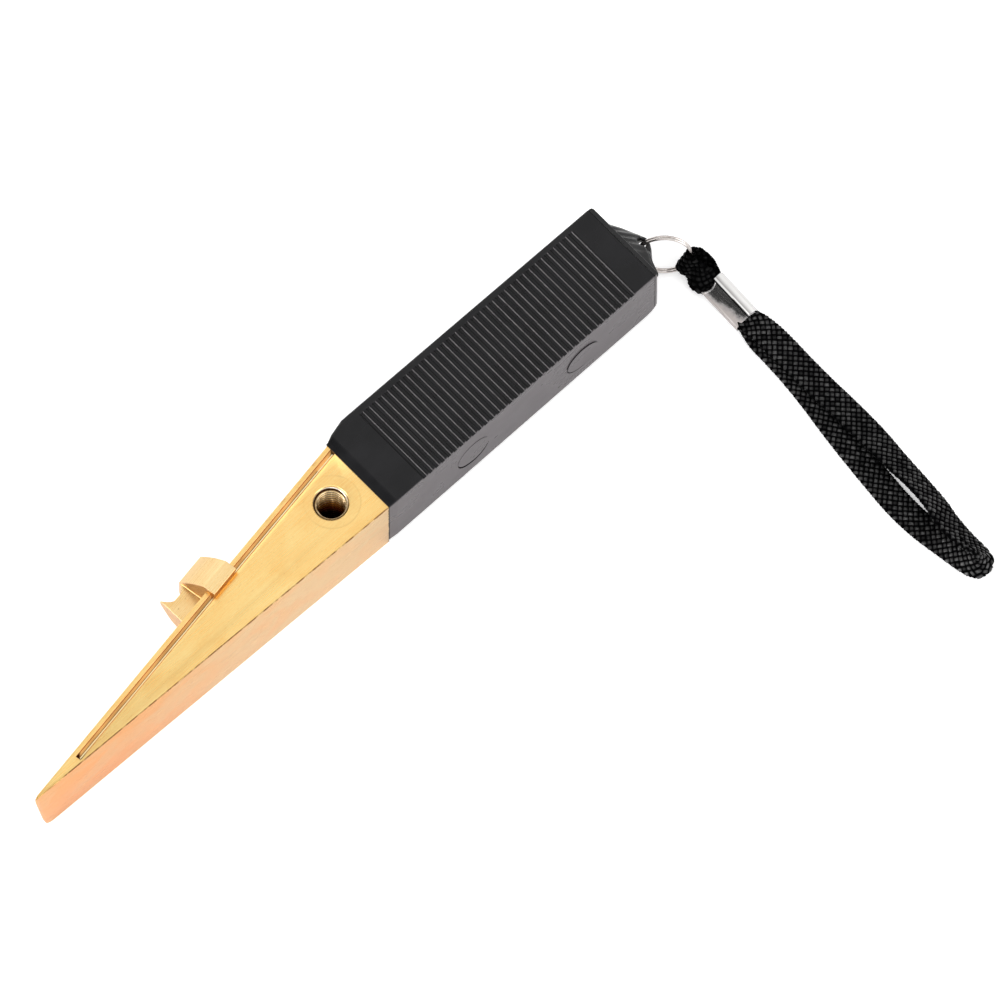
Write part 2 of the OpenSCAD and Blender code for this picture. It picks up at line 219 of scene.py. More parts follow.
def revolve(name, profile, origin, axis, steps):
    """Closed solid of revolution through (radius, height along axis) points."""
    z = Vector(axis).normalized()
    x = z.orthogonal().normalized()
    y = z.cross(x)
    origin = Vector(origin)
    verts = []
    for i in range(steps):
        angle = 2 * math.pi * i / steps
        spoke = x * math.cos(angle) + y * math.sin(angle)
        verts += [tuple(origin + spoke * r + z * h) for r, h in profile]
    count = len(profile)
    faces = grid_faces(steps, count, close_columns=False, close_rows=True)
    first = len(verts)
    verts.append(tuple(origin + z * profile[0][1]))
    verts.append(tuple(origin + z * profile[-1][1]))
    for i in range(steps):
        j = (i + 1) % steps
        faces.append((first, i * count, j * count))
        faces.append((first + 1, j * count + count - 1, i * count + count - 1))
    return outward(new_object(name, verts, faces, 40))


def cut_shell(ob, cutters, sharp):
    """Takes the cutters out of a shell and sets its shading."""
    for cutter in cutters:
        mod = ob.modifiers.new("cut", "BOOLEAN")
        mod.operation, mod.object, mod.solver = "DIFFERENCE", cutter, "EXACT"
    bpy.context.view_layer.update()
    depsgraph = bpy.context.evaluated_depsgraph_get()
    mesh = bpy.data.meshes.new_from_object(ob.evaluated_get(depsgraph))
    old = ob.data
    ob.modifiers.clear()
    ob.data = mesh
    mesh.name = ob.name
    bpy.data.meshes.remove(old)
    for cutter in cutters:
        bpy.data.objects.remove(cutter)
    mesh.set_sharp_from_angle(angle=math.radians(sharp))
    weighted_normals(ob, 50, True)


def relax(rows, times):
    """Evens out a run of points in place, with its ends held."""
    for _ in range(times):
        rows[1:-1] = 0.25 * rows[:-2] + 0.5 * rows[1:-1] + 0.25 * rows[2:]


def unit_rows(rows):
    return rows / np.linalg.norm(rows, axis=1)[:, None]


def square_to(rows, tangents):
    """Unit vectors nearest to rows at right angles to the tangents."""
    return unit_rows(rows - (rows * tangents).sum(1)[:, None] * tangents)


def sweep(path, up, half_width, half_height, sides, offset=0):
    """Vertices and faces of a capped elliptical tube; faces count vertices from offset."""
    tangents = unit_rows(np.gradient(path, axis=0))
    up = square_to(up, tangents)
    across = np.cross(tangents, up)
    angle = np.arange(sides) * 2 * math.pi / sides
    rings = path[:, None, :] + (
        half_width[:, None, None] * np.cos(angle)[None, :, None] * across[:, None, :]
        + half_height[:, None, None] * np.sin(angle)[None, :, None] * up[:, None, :])
    verts = np.vstack([rings.reshape(-1, 3), path[[0, -1]]])
    end = offset + len(path) * sides
    faces = grid_faces(len(path), sides, offset=offset)
    faces += fan(end, list(range(offset, offset + sides)), flip=True)
    faces += fan(end + 1, list(range(end - sides, end)))
    return verts, faces


# ---- material helpers -------------------------------------------------------
class Nodes:
    """Builds shader nodes. Operands may be numbers, colours or sockets."""

    def __init__(self, tree):
        self.tree = tree
        tree.nodes.clear()

    def node(self, kind, **settings):
        node = self.tree.nodes.new("ShaderNode" + kind)
        for key, value in settings.items():
            setattr(node, key, value)
        return node

    def put(self, socket, value):
        if isinstance(value, bpy.types.NodeSocket):
            self.tree.links.new(value, socket)
        elif isinstance(value, (tuple, list)) and len(value) == 3 and socket.type == "RGBA":
            socket.default_value = (*value, 1)
        else:
            socket.default_value = value

    def math(self, operation, *operands, clamp=False):
        node = self.node("Math", operation=operation, use_clamp=clamp)
        for i, operand in enumerate(operands):
            self.put(node.inputs[i], operand)
        return node.outputs[0]

    def add(self, a, b):
        return self.math("ADD", a, b)

    def sub(self, a, b):
        return self.math("SUBTRACT", a, b)

    def mul(self, a, b):
        return self.math("MULTIPLY", a, b)

    def max(self, a, b):
        return self.math("MAXIMUM", a, b)

    def away(self, value, centre):
        """Distance of value from centre."""
        return self.math("ABSOLUTE", self.sub(value, centre))

    def radius(self, x, y):
        return self.math("SQRT", self.add(self.mul(x, x), self.mul(y, y)))

    def dot(self, a, b):
        node = self.node("VectorMath", operation="DOT_PRODUCT")
        self.put(node.inputs[0], a)
        self.put(node.inputs[1], b)
        return node.outputs["Value"]

    def remap(self, value, start, end, low=0.0, high=1.0, smooth=False):
        """low at start, high at end, held beyond them."""
        kind = "SMOOTHSTEP" if smooth else "LINEAR"
        node = self.node("MapRange", interpolation_type=kind)
        self.put(node.inputs[0], value)
        for i, number in enumerate((start, end, low, high)):
            node.inputs[i + 1].default_value = number
        return node.outputs[0]

    def remap_mm(self, value, start, end, low=0.0, high=1.0, smooth=False):
        """remap with start and end in mm."""
        return self.remap(value, start * MM, end * MM, low, high, smooth)


SHADER_INPUTS = dict(color="Base Color", metal="Metallic", rough="Roughness", normal="Normal",
                     spec="Specular IOR Level", glow_color="Emission Color",
                     glow="Emission Strength")


class Mat(Nodes):
    """A material with one Principled shader."""

    def __init__(self, name):
        self.material = bpy.data.materials.new(name)
        self.material.use_nodes = True
        super().__init__(self.material.node_tree)
        self.output = self.node("OutputMaterial")
        self.shader = self.node("BsdfPrincipled")
        self.put(self.output.inputs[0], self.shader.outputs[0])

    def set(self, **values):
        for key, value in values.items():
            self.put(self.shader.inputs[SHADER_INPUTS[key]], value)
        return self

    def base_color(self):
        return self.shader.inputs["Base Color"].links[0].from_socket

    def noise(self, cells, detail, rough, warp=0.0, turn=0.0):
        """Noise with `cells` per metre along each axis, after a turn about Z."""
        turned, scaled = self.node("Mapping"), self.node("Mapping")
        turned.inputs["Rotation"].default_value = (0, 0, turn)
        scaled.inputs["Scale"].default_value = cells
        self.put(turned.inputs[0], self.node("TexCoord").outputs["Object"])
        self.put(scaled.inputs[0], turned.outputs[0])
        node = self.node("TexNoise")
        self.put(node.inputs["Vector"], scaled.outputs[0])
        node.inputs["Scale"].default_value = 1.0
        node.inputs["Detail"].default_value = detail
        node.inputs["Roughness"].default_value = rough
        node.inputs["Distortion"].default_value = warp
        return node.outputs[0]

    def ramp(self, factor, stops):
        """Colour ramp through (position, colour) stops."""
        node = self.node("ValToRGB")
        self.put(node.inputs[0], factor)
        elements = node.color_ramp.elements
        while len(elements) < len(stops):
            elements.new(0.5)
        for element, (position, color) in zip(elements, stops):
            element.position = position
            element.color = (*color, 1)
        return node.outputs[0]

    def mix(self, factor, under, over, mode="MIX"):
        node = self.node("Mix", data_type="RGBA", blend_type=mode)
        self.put(node.inputs[0], factor)
        self.put(node.inputs[6], under)
        self.put(node.inputs[7], over)
        return node.outputs[2]

    def bump(self, height, strength, distance):
        node = self.node("Bump")
        node.inputs["Strength"].default_value = strength
        node.inputs["Distance"].default_value = distance
        self.put(node.inputs["Height"], height)
        return node.outputs[0]

    def split(self, vector):
        node = self.node("SeparateXYZ")
        self.put(node.inputs[0], vector)
        return node.outputs

    def place_and_normal(self):
        """x, y, z of the surface point and of its normal."""
        coords = self.node("TexCoord")
        return self.split(coords.outputs["Object"]), self.split(coords.outputs["Normal"])

    def edge(self, radius):
        """1 on edges and corners, 0 on open faces; radius in mm."""
        bevel = self.node("Bevel", samples=4)
        bevel.inputs["Radius"].default_value = radius * MM
        facing = self.dot(bevel.outputs[0], self.node("NewGeometry").outputs["Normal"])
        return self.remap(self.sub(1.0, facing), 0.02, 0.25)


def give(ob, mat):
    ob.data.materials.clear()
    ob.data.materials.append(mat.material)
    for polygon in ob.data.polygons:
        polygon.material_index = 0


def dress(ob, mat, body):
    """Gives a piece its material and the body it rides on."""
    give(ob, mat)
    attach(ob, body)


# ---- brass ------------------------------------------------------------------
class Brass(Mat):
    """Brushed brass with a painted reflection colour on its side face and painted shade on its
    slot walls, up to its tarnish specks.

    turn sets the brushing's direction; light and dark are the top's colours, side_near and
    side_far the painted reflection colours of the side at the grip and at the tip, slot the
    painted shade colour of the slot's walls.
    """

    def __init__(self, name, turn, light, dark, side_near, side_far, slot, specks=0.5):
        super().__init__(name)
        self.streak = self.noise((45, 2600, 2600), detail=4, rough=0.65, turn=turn)
        self.fine = self.noise((160, 9000, 9000), detail=2, rough=0.6, turn=turn)
        self.cloud = self.noise((55, 90, 90), detail=3, rough=0.55, warp=0.6, turn=turn)
        self.spots = self.noise((900, 1400, 1400), detail=2, rough=0.5)
        grain = self.noise((1100, 4200, 4200), detail=2, rough=0.7, turn=turn)
        tone = self.add(self.mul(self.streak, 0.42),
                        self.add(self.mul(self.cloud, 0.36), self.mul(grain, 0.22)))
        self.place, self.normal = self.place_and_normal()
        top = self.ramp(tone, [(0.30, dark), (0.62, light)])
        # painted reflection: the side and tip faces take the side's colours in place of the top's,
        # for the floor's light on them
        side = self.side_reflection_color(tone, side_near, side_far)
        self.on_side = self.remap(self.normal[1], -0.55, -0.9)
        on_tip = self.remap(self.normal[0], -0.5, -0.85)
        color = self.mix(self.max(self.on_side, on_tip), top, side)
        self.wall = self.slot_wall()
        # painted shade on the slot's walls
        color = self.mix(self.mul(self.wall, 0.92), color, slot)
        speck = self.remap(self.spots, 0.68, 0.76)
        self.color = self.mix(self.mul(speck, specks), color, (0.42, 0.22, 0.08))

    def side_reflection_color(self, tone, near, far):
        # painted reflection colour, from the grip's colour to the tip's, with painted shadow on
        # the darker streaks
        along = self.math("POWER", self.remap_mm(self.place[0], MOUTH_X - 10, -112), 1.4)
        along = self.math("ADD", along, self.remap(self.cloud, 0.4, 0.6, -0.22, 0.22), clamp=True)
        shadow = self.mul(self.remap(tone, 0.35, 0.65, 1, 0), 0.35)
        return self.mix(shadow, self.mix(along, near, far), tuple(c * 0.72 for c in far))

    def slot_wall(self):
        """1 on the upright walls of the slot beside the rail."""
        x, y = self.place[0], self.place[1]
        self.rail_off = self.sub(self.mul(self.sub(y, RAIL_Y * MM), math.cos(RAIL_ANGLE)),
                                 self.mul(x, math.sin(RAIL_ANGLE)))
        upright = self.remap(self.math("ABSOLUTE", self.normal[2]), 0.75, 0.35)
        wall = self.mul(self.remap_mm(self.rail_off, -3.6, -3.3), upright)
        wall = self.mul(wall, self.remap_mm(self.rail_off, -1.1, -1.3))
        inner = self.add(y, self.mul(x, SIDE_SLOPE))
        return self.mul(wall, self.mul(self.remap_mm(inner, -10.6, -10.2),
                                       self.remap_mm(x, -104.4, -104.2)))

    def base_rough(self, edge_wear_and_highlight):
        return self.add(self.remap(self.streak, 0.3, 0.7, 0.22, 0.40), self.mul(edge_wear_and_highlight, -0.06))

    def finish(self, color, rough):
        height = self.add(self.mul(self.streak, 0.7), self.mul(self.fine, 0.3))
        return self.set(color=color, metal=1.0, rough=rough,
                        normal=self.bump(height, strength=0.35, distance=0.00006))


def plain_brass(name, **look):
    """Brass with bright edges: wear, and a painted edge highlight."""
    mat = Brass(name, **look)
    edge_wear_and_highlight = mat.edge(0.35)
    # bright edges: wear and a painted edge highlight
    color = mat.mix(mat.mul(edge_wear_and_highlight, 0.6), mat.color, (1.0, 0.90, 0.62))
    return mat.finish(color, mat.base_rough(edge_wear_and_highlight))


def bar_marks(mat, edge_wear_and_highlight, color):
    """Dark joint at the grip, rust by the rail and a darker line along the long top edge."""
    x, y, z = mat.place
    ragged = mat.noise((10, 10, 700), detail=4, rough=0.7)
    joint = mat.remap_mm(mat.add(x, mat.mul(ragged, 0.9 * MM)), MOUTH_X + 0.05, MOUTH_X + 0.25)
    color = mat.mix(mat.mul(joint, mat.on_side), color, (0.05, 0.018, 0.006))
    rust = mat.mul(mat.remap_mm(mat.rail_off, -1.0, -0.3), mat.remap_mm(x, -26, 6))
    flakes = mat.noise((330, 900, 500), detail=4, rough=0.7)
    rust = mat.mul(rust, mat.remap(flakes, 0.50, 0.62))
    color = mat.mix(mat.mul(rust, 0.75), color, (0.40, 0.13, 0.05))
    # the side face lies at y = -12.1 mm where x = 11 mm
    side_y = mat.add(-12.1 * MM, mat.mul(mat.sub(11 * MM, x), SIDE_SLOPE))
    near = mat.remap_mm(mat.away(mat.sub(y, side_y), 0.12 * MM), 0.10, 0.24, 1, 0)
    high = mat.remap_mm(z, 25.0, 25.15)
    patches = mat.noise((260, 260, 260), detail=3, rough=0.6)
    dark_top_edge = mat.mul(mat.mul(near, high), mat.remap(patches, 0.38, 0.55, 0.25, 0.95))
    color = mat.mix(dark_top_edge, color, (0.16, 0.065, 0.018))
    dull = mat.mul(edge_wear_and_highlight, mat.remap(mat.spots, 0.4, 0.6, 0.15, 0.5))
    return mat.mix(dull, color, (0.42, 0.19, 0.05))


def bar_brass():
    mat = Brass("brushed_brass", turn=0.0, light=(1.0, 0.735, 0.305), dark=(0.90, 0.50, 0.14),
                side_near=(0.84, 0.64, 0.38), side_far=(0.89, 0.435, 0.165),
                slot=(0.248, 0.1, 0.022), specks=0.22)
    x, y, z = mat.place
    edge_wear_and_highlight = mat.edge(0.30)
    color = bar_marks(mat, edge_wear_and_highlight, mat.color)
    # faint seating ring round the cable hole
    radius = mat.radius(mat.sub(x, 0.5 * MM), y)
    ring = mat.remap_mm(mat.away(radius, 8.0 * MM), 0.08, 0.34, 1, 0)
    ring = mat.mul(mat.mul(ring, mat.remap(mat.normal[2], 0.9, 0.98)),
                   mat.remap(mat.cloud, 0.42, 0.58, 0.25, 1))
    color = mat.mix(mat.mul(ring, 0.40), color, (0.72, 0.47, 0.17))
    inside = mat.mul(mat.remap_mm(radius, 8.2, 7.8), mat.remap(mat.normal[2], 0.9, 0.98))
    rough = mat.add(mat.base_rough(edge_wear_and_highlight), mat.mul(inside, 0.05))
    # light deep between the slot's walls, which a short path count loses
    depth = mat.ramp(mat.remap_mm(z, 18, BAR_TOP), [
        (0.0, (0.05, 0.012, 0.002)), (0.40, (0.13, 0.035, 0.006)), (0.52, (0.72, 0.38, 0.12)),
        (0.80, (0.76, 0.42, 0.14)), (0.90, (0.34, 0.11, 0.02)), (1.0, (0.28, 0.09, 0.02))])
    lit = mat.mul(mat.remap_mm(x, -102.4, -101.6), mat.remap(mat.cloud, 0.35, 0.65, 0.70, 1.2))
    mat.set(glow_color=depth, glow=mat.mul(mat.wall, lit))
    return mat.finish(color, rough)


def thread_brass():
    """Brass with painted shade down the hole and in the thread's roots, and a painted highlight on
    its crests.
    """
    mat = plain_brass("thread_brass", turn=0.0, light=(0.95, 0.74, 0.40), dark=(0.80, 0.50, 0.20),
                      side_near=(0.9, 0.6, 0.3), side_far=(0.9, 0.6, 0.3), slot=(0.80, 0.50, 0.22))
    z = mat.split(mat.node("TexCoord").outputs["Object"])[2]
    deep = mat.ramp(mat.remap_mm(z, 4, 25), [
        (0.0, (0.004, 0.002, 0.001)), (0.24, (0.012, 0.004, 0.002)), (0.36, (0.30, 0.07, 0.012)),
        (0.50, (0.62, 0.32, 0.10)), (0.66, (1.0, 0.9, 0.8)), (0.90, (1.0, 1.0, 1.0))])
    place = mat.split(mat.node("TexCoord").outputs["Object"])
    turn = mat.math("DIVIDE", mat.math("ARCTAN2", place[1], place[0]), 2 * math.pi)
    phase = mat.math("FRACT", mat.sub(mat.math("DIVIDE", z, THREAD_PITCH * MM), turn))
    ridge = mat.sub(1.0, mat.math("ABSOLUTE", mat.sub(mat.mul(phase, 2.0), 1.0)))
    flank = mat.remap(ridge, 0.46, 0.80)
    # painted shade darkening down the hole, a painted highlight on the crests and painted shade in
    # the roots
    color = mat.mix(1.0, mat.base_color(), deep, "MULTIPLY")
    crest = mat.mix(1.0, (1.0, 0.93, 0.80), deep, "MULTIPLY")
    color = mat.mix(mat.remap(ridge, 0.70, 0.95), color, crest)
    return mat.set(color=mat.mix(flank, (0.030, 0.009, 0.003), color))


# ---- plastic, steel and webbing ---------------------------------------------
def plastic(name, base, rough_low, rough_high, spec):
    mat = Mat(name)
    grain = mat.noise((1600, 1600, 1600), detail=3, rough=0.6)
    blotch = mat.noise((70, 110, 110), detail=3, rough=0.5)
    scuff = mat.noise((500, 40, 300), detail=4, rough=0.7, warp=1.5, turn=0.5)
    edge_wear_and_highlight = mat.edge(0.3)
    color = mat.mix(mat.remap(blotch, 0.35, 0.65), base, tuple(c * 1.7 + 0.002 for c in base))
    # lighter edges: wear and a painted edge highlight
    color = mat.mix(mat.mul(edge_wear_and_highlight, 0.35), color, (0.05, 0.048, 0.05))
    (x, y, z), normal = mat.place_and_normal()
    # the grooved field on top, and the place within one groove pitch
    ribs = mat.mul(mat.remap_mm(x, MOUTH_X + 12.4, MOUTH_X + 12.6),
                   mat.remap_mm(x, MOUTH_X + 94.6, MOUTH_X + 94.4))
    phase = mat.math("FRACT", mat.math("DIVIDE", mat.sub(x, GROOVE_X * MM), GROOVE_PITCH * MM))
    field = mat.mul(mat.mul(ribs, mat.remap_mm(z, 24.9, 25.1)),
                    mat.remap_mm(y, GROOVE_END_Y + 0.15, GROOVE_END_Y - 0.05))
    # painted shade in the grooves: dark beside the hidden wall and a dimmer band after the lit
    # wall
    shade = mat.max(mat.remap(phase, 0.93, 0.985), mat.remap(phase, 0.14, 0.06))
    after = mat.mul(mat.remap(mat.away(phase, 0.66), 0.02, 0.14, 1, 0), 0.45)
    deep = mat.mul(field, mat.max(shade, after))
    # painted highlights along the grooves' lit walls and at the ribs' ends
    lit = mat.remap(mat.away(phase, 0.505), 0.022, 0.050, 1, 0)
    ends = mat.mul(mat.mul(edge_wear_and_highlight, ribs),
                   mat.mul(mat.remap_mm(z, 25.55, 25.75), mat.remap_mm(y, -11.2, -11.6)))
    lip_highlight = mat.max(mat.mul(field, lit), mat.mul(ends, 0.9))
    color = mat.mix(mat.mul(lip_highlight, mat.remap(scuff, 0.35, 0.6, 0.55, 1.0)), color,
                    (0.19, 0.18, 0.185))
    # painted reflection: the -Y side is painted greyer for the floor's light on it; painted shade:
    # the walls sunk behind its skin are painted dark
    side = mat.mul(mat.remap(normal[1], -0.6, -0.95), mat.remap(blotch, 0.3, 0.7, 0.85, 1.1))
    side_y = mat.add(GRIP_SIDE_Y * MM, mat.mul(mat.sub(x, 14 * MM), 0.00503))
    skin = mat.sub(y, side_y)
    color = mat.mix(mat.mul(side, mat.remap_mm(skin, 0.42, 0.30)), color, (0.086, 0.075, 0.081))
    sunk = mat.mul(mat.remap(normal[1], -0.2, -0.6),
                   mat.mul(mat.remap_mm(skin, 0.50, 0.62), mat.remap_mm(skin, 1.35, 1.25)))
    deep = mat.max(deep, sunk)
    # painted shade: the grooves and the sunk walls near black
    color = mat.mix(deep, color, (0.0008, 0.0008, 0.0008))
    return mat.set(color=color, rough=mat.remap(blotch, 0.3, 0.7, rough_low, rough_high),
                   spec=mat.mul(spec, mat.remap(deep, 0, 1, 1, 0.12)),
                   normal=mat.bump(grain, strength=0.18, distance=0.00004))


def steel(name, light, dark, rough, cells=(300, 300, 3000), bump=0.15):
    mat = Mat(name)
    streak = mat.noise(cells, detail=4, rough=0.6)
    cloud = mat.noise((160, 160, 160), detail=2, rough=0.5)
    tone = mat.add(mat.mul(streak, 0.6), mat.mul(cloud, 0.4))
    color = mat.mix(mat.remap(tone, 0.35, 0.65), dark, light)
    # painted highlight on the edges
    color = mat.mix(mat.mul(mat.edge(0.2), 0.5), color, (0.95, 0.94, 0.93))
    return mat.set(color=color, metal=1.0,
                   rough=mat.remap(streak, 0.3, 0.7, rough * 0.7, rough * 1.4),
                   normal=mat.bump(streak, strength=bump, distance=0.00003))


def crimp_sheet():
    """Bright sheet with a painted pale reflection on part of its main face and a painted
    reflection on its flap.
    """
    mat = steel("bright_sheet", (0.86, 0.84, 0.83), (0.62, 0.61, 0.62), 0.16,
                cells=(2600, 120, 2600), bump=0.12)
    coords = mat.node("TexCoord")

    def measure(axis):
        offset = mat.node("VectorMath", operation="SUBTRACT")
        mat.put(offset.inputs[0], coords.outputs["Object"])
        offset.inputs[1].default_value = tuple(CRIMP_CENTRE * MM)
        return mat.dot(offset.outputs[0], tuple(axis))

    along, across, out = measure(CRIMP_ALONG), measure(CRIMP_ACROSS), measure(CRIMP_OUT)
    reflection_wobble = mat.noise((420, 420, 420), detail=3, rough=0.6)
    # painted reflection: a pale patch on the main face, with a wavy border
    slant = mat.add(mat.sub(mat.mul(along, 0.22), across),
                    mat.mul(mat.sub(reflection_wobble, 0.5), 3.0 * MM))
    pale_reflection = mat.mul(mat.remap_mm(slant, 0.9, 3.2, smooth=True),
                   mat.mul(mat.remap_mm(across, 1.2, 0.6), mat.remap_mm(out, 0.6, 0.9)))
    color = mat.mix(pale_reflection, mat.base_color(), (0.52, 0.475, 0.46))
    # painted reflection on the flap, pale with a white highlight line and a grey line; a painted
    # shadow runs beside its edge
    flap = mat.max(mat.mul(mat.remap_mm(out, 1.62, 1.75), mat.remap_mm(across, 1.25, 1.4)),
                   mat.remap_mm(across, 3.3, 3.5))
    flap_reflection = mat.ramp(mat.remap_mm(across, 1.3, 3.9), [
        (0.0, (0.95, 0.95, 0.95)), (0.20, (0.95, 0.94, 0.93)), (0.30, (0.38, 0.37, 0.37)),
        (0.42, (0.60, 0.59, 0.58)), (0.62, (0.88, 0.87, 0.86)), (1.0, (0.80, 0.79, 0.78))])
    color = mat.mix(mat.mul(flap, 0.9), color, flap_reflection)
    # painted shadow beside the flap's edge
    gap = mat.mul(mat.remap_mm(mat.away(across, 1.05 * MM), 0.30, 0.12),
                  mat.remap_mm(out, 1.62, 1.50))
    gap = mat.mul(gap, mat.remap_mm(out, 0.5, 0.8))
    color = mat.mix(gap, color, (0.012, 0.012, 0.013))
    return mat.set(color=color, metal=mat.mul(mat.remap(pale_reflection, 0, 1, 1.0, 0.12),
                                              mat.remap(flap, 0, 1, 1.0, 0.15)))


def webbing(name, gloss_and_light=1.0):
    """Twisted yarn. UV u is mm along it, v turns round it; "lift" is 1 where it lies on top."""
    mat = Mat(name)
    uv = mat.split(mat.node("UVMap").outputs[0])
    # nine filaments round the yarn
    wave = mat.math("SINE", mat.add(mat.mul(uv[1], 6.2832 * 9), mat.mul(uv[0], 5.0)))
    fuzz = mat.noise((2500, 2500, 2500), detail=3, rough=0.6)
    tone = mat.noise((260, 260, 260), detail=3, rough=0.6)
    color = mat.ramp(mat.add(mat.mul(tone, 0.7), mat.mul(fuzz, 0.3)),
                     [(0.3, (0.012, 0.012, 0.0125)), (0.7, (0.040, 0.039, 0.039))])
    lift = mat.node("Attribute", attribute_name="lift").outputs["Fac"]
    crown = mat.remap(mat.math("SINE", mat.mul(uv[1], 6.28318)), 0.30, 0.98, smooth=True)
    over = mat.mul(mat.remap(lift, 0.48, 1.0, smooth=True), crown)
    glints = mat.noise((1050, 1050, 1050), detail=1, rough=0.5)
    # painted shade: off the crowns of the yarns lying on top the colour goes near black; the gloss
    # factor also sets how much crown colour shows
    color = mat.mix(mat.mul(over, gloss_and_light), (0.0020, 0.0020, 0.0022), color)
    height = mat.add(mat.mul(wave, 0.5), fuzz)
    return mat.set(color=color, rough=mat.remap(fuzz, 0.3, 0.7, 0.30, 0.5),
                   spec=mat.mul(over, mat.remap(glints, 0.36, 0.64, 0.40 * gloss_and_light, 1.0 * gloss_and_light)),
                   normal=mat.bump(height, strength=0.4, distance=0.00004))


THREAD_PITCH = 1.5

BAR_BRASS = bar_brass()
JAW_BRASS = plain_brass("milled_brass", turn=-RAIL_ANGLE, light=(1.0, 0.76, 0.39),
                        dark=(0.80, 0.48, 0.17), side_near=(0.93, 0.62, 0.36),
                        side_far=(0.93, 0.60, 0.33), slot=(0.74, 0.43, 0.14))
STRIP_BRASS = plain_brass("strip_brass", turn=-RAIL_ANGLE, light=(1.0, 0.86, 0.50),
                          dark=(0.85, 0.55, 0.2), side_near=(0.80, 0.45, 0.16),
                          side_far=(0.80, 0.45, 0.16), slot=(0.85, 0.55, 0.25))
THREAD_BRASS = thread_brass()
GRIP_PLASTIC = plastic("black_grip_plastic", (0.0042, 0.0042, 0.0050),
                       rough_low=0.24, rough_high=0.34, spec=0.26)
CAP_PLASTIC = plastic("black_cap_plastic", (0.005, 0.005, 0.0055),
                      rough_low=0.20, rough_high=0.32, spec=0.36)
SCREW_STEEL = steel("zinc_steel", light=(0.66, 0.66, 0.68), dark=(0.45, 0.45, 0.47), rough=0.30)
RING_STEEL = steel("nickel_wire", light=(0.80, 0.76, 0.73), dark=(0.52, 0.47, 0.45), rough=0.16,
                   cells=(900, 900, 900))
CRIMP_SHEET = crimp_sheet()
LOOP_WEBBING = webbing("braided_nylon")
# painted shade: a darker, less glossy copy of the webbing for the fold, which lies in shade
SHADED_FOLD_WEBBING = webbing("braided_nylon_fold_shaded", gloss_and_light=0.18)


# ---- brass bar, jaw and small parts -----------------------------------------
def brass_and_hardware():
    bar = refined_copy("wedge_body", "brass_wedge_bar", 0.16, flat=True)
    dress(bar, BAR_BRASS, "root")
    jaw = refined_copy("sliding_jaw", "brass_hook_jaw", 0.15)
    dress(jaw, JAW_BRASS, "jaw")
    for node, mat, slot in (("friction_strip", STRIP_BRASS, "brass_strip"),
                            ("rail_spacers", STRIP_BRASS, "brass_strip"),
                            ("rail_screws", SCREW_STEEL, "screw_steel"),
                            ("grip_screws", SCREW_STEEL, "screw_steel"),
                            ("end_cap_screws", SCREW_STEEL, "screw_steel"),
                            ("grip_screw_covers", GRIP_PLASTIC, "grip_plastic")):
        give(NODES[node], mat)


def thread():
    """A sleeve in the cable hole whose inner wall is a helical ridge."""
    low, high = 0.25, BAR_TOP - 0.45
    around, rows = 72, int((high - low) / 0.125)
    verts = []
    for row in range(rows + 1):
        z = low + (high - low) * row / rows
        fade = min(1, (high - z) / 1.0 + 0.15, (z - low) / 0.8 + 0.15)
        for i in range(around):
            angle = 2 * math.pi * i / around
            phase = (z / THREAD_PITCH - i / around) % 1.0
            ridge = 1 - abs(2 * phase - 1)                # 0 at the root, 1 at the crest
            height = 0.86 * min(1, max(0, (ridge - 0.12) / 0.70))
            r = HOLE_RADIUS - 0.03 - height * fade
            verts.append((r * math.cos(angle), r * math.sin(angle), z))
    outer, last, r = len(verts), rows * around, HOLE_RADIUS + 0.03
    for z in (low, high):
        for i in range(around):
            angle = 2 * math.pi * i / around
            verts.append((r * math.cos(angle), r * math.sin(angle), z))
    faces = grid_faces(rows + 1, around)
    for i in range(around):
        j = (i + 1) % around
        faces.append((outer + i, outer + j, outer + around + j, outer + around + i))
        faces.append((i, j, outer + j, outer + i))
        faces.append((last + i, outer + around + i, outer + around + j, last + j))
    ob = outward(new_object("cable_thread", verts, faces, 50))
    dress(ob, THREAD_BRASS, "root")


brass_and_hardware()
thread()


# ---- grip sleeve ------------------------------------------------------------
def rear_rounding(x, radius):
    """0 until `radius` before the grip's rear, then a quarter circle up to 1 at the rear."""
    t = max(0, x - (GRIP_REAR_X - radius)) / radius
    return 1 - math.sqrt(max(0, 1 - t * t))


def mouth_blend(x):
    return clamp01((x - MOUTH_X) / 3.0)


def grip_limits(x):
    """y0, y1, z0, z1 of the grip's outline at x."""
    back = x - MOUTH_X
    t = mouth_blend(x)
    t = smooth01(t) * 0.35 + t * 0.65
    y0 = -12.15 * (1 - t) + GRIP_SIDE_Y * t + max(0, back - 3) / 99.4 * 0.5
    # the rail side swells behind the mouth, then draws in slightly towards the rear
    if back > 0.3:
        y1 = min(13.75 + 0.42 * back, 15.05 + 0.26 * (back - 3.1),
                 GRIP_RAIL_Y - 0.0055 * (back - 8))
    else:
        y1 = 13.75 + 0.30 * back
    z1 = (BAR_TOP + 0.06) * (1 - t) + GRIP_TOP * t
    return (y0 + 1.0 * rear_rounding(x, 1.0), y1 - 0.7 * rear_rounding(x, 1.3),
            4.6 * rear_rounding(x, 4.6), z1 - 0.35 * rear_rounding(x, 0.35))


# y from the grooves' closed end, and share of the depth reached there
GROOVE_RUNOUT = [(0.25, 0), (0.12, 0.06), (0.02, 0.22), (-0.06, 0.62), (-0.12, 0.9), (-0.3, 1.0)]


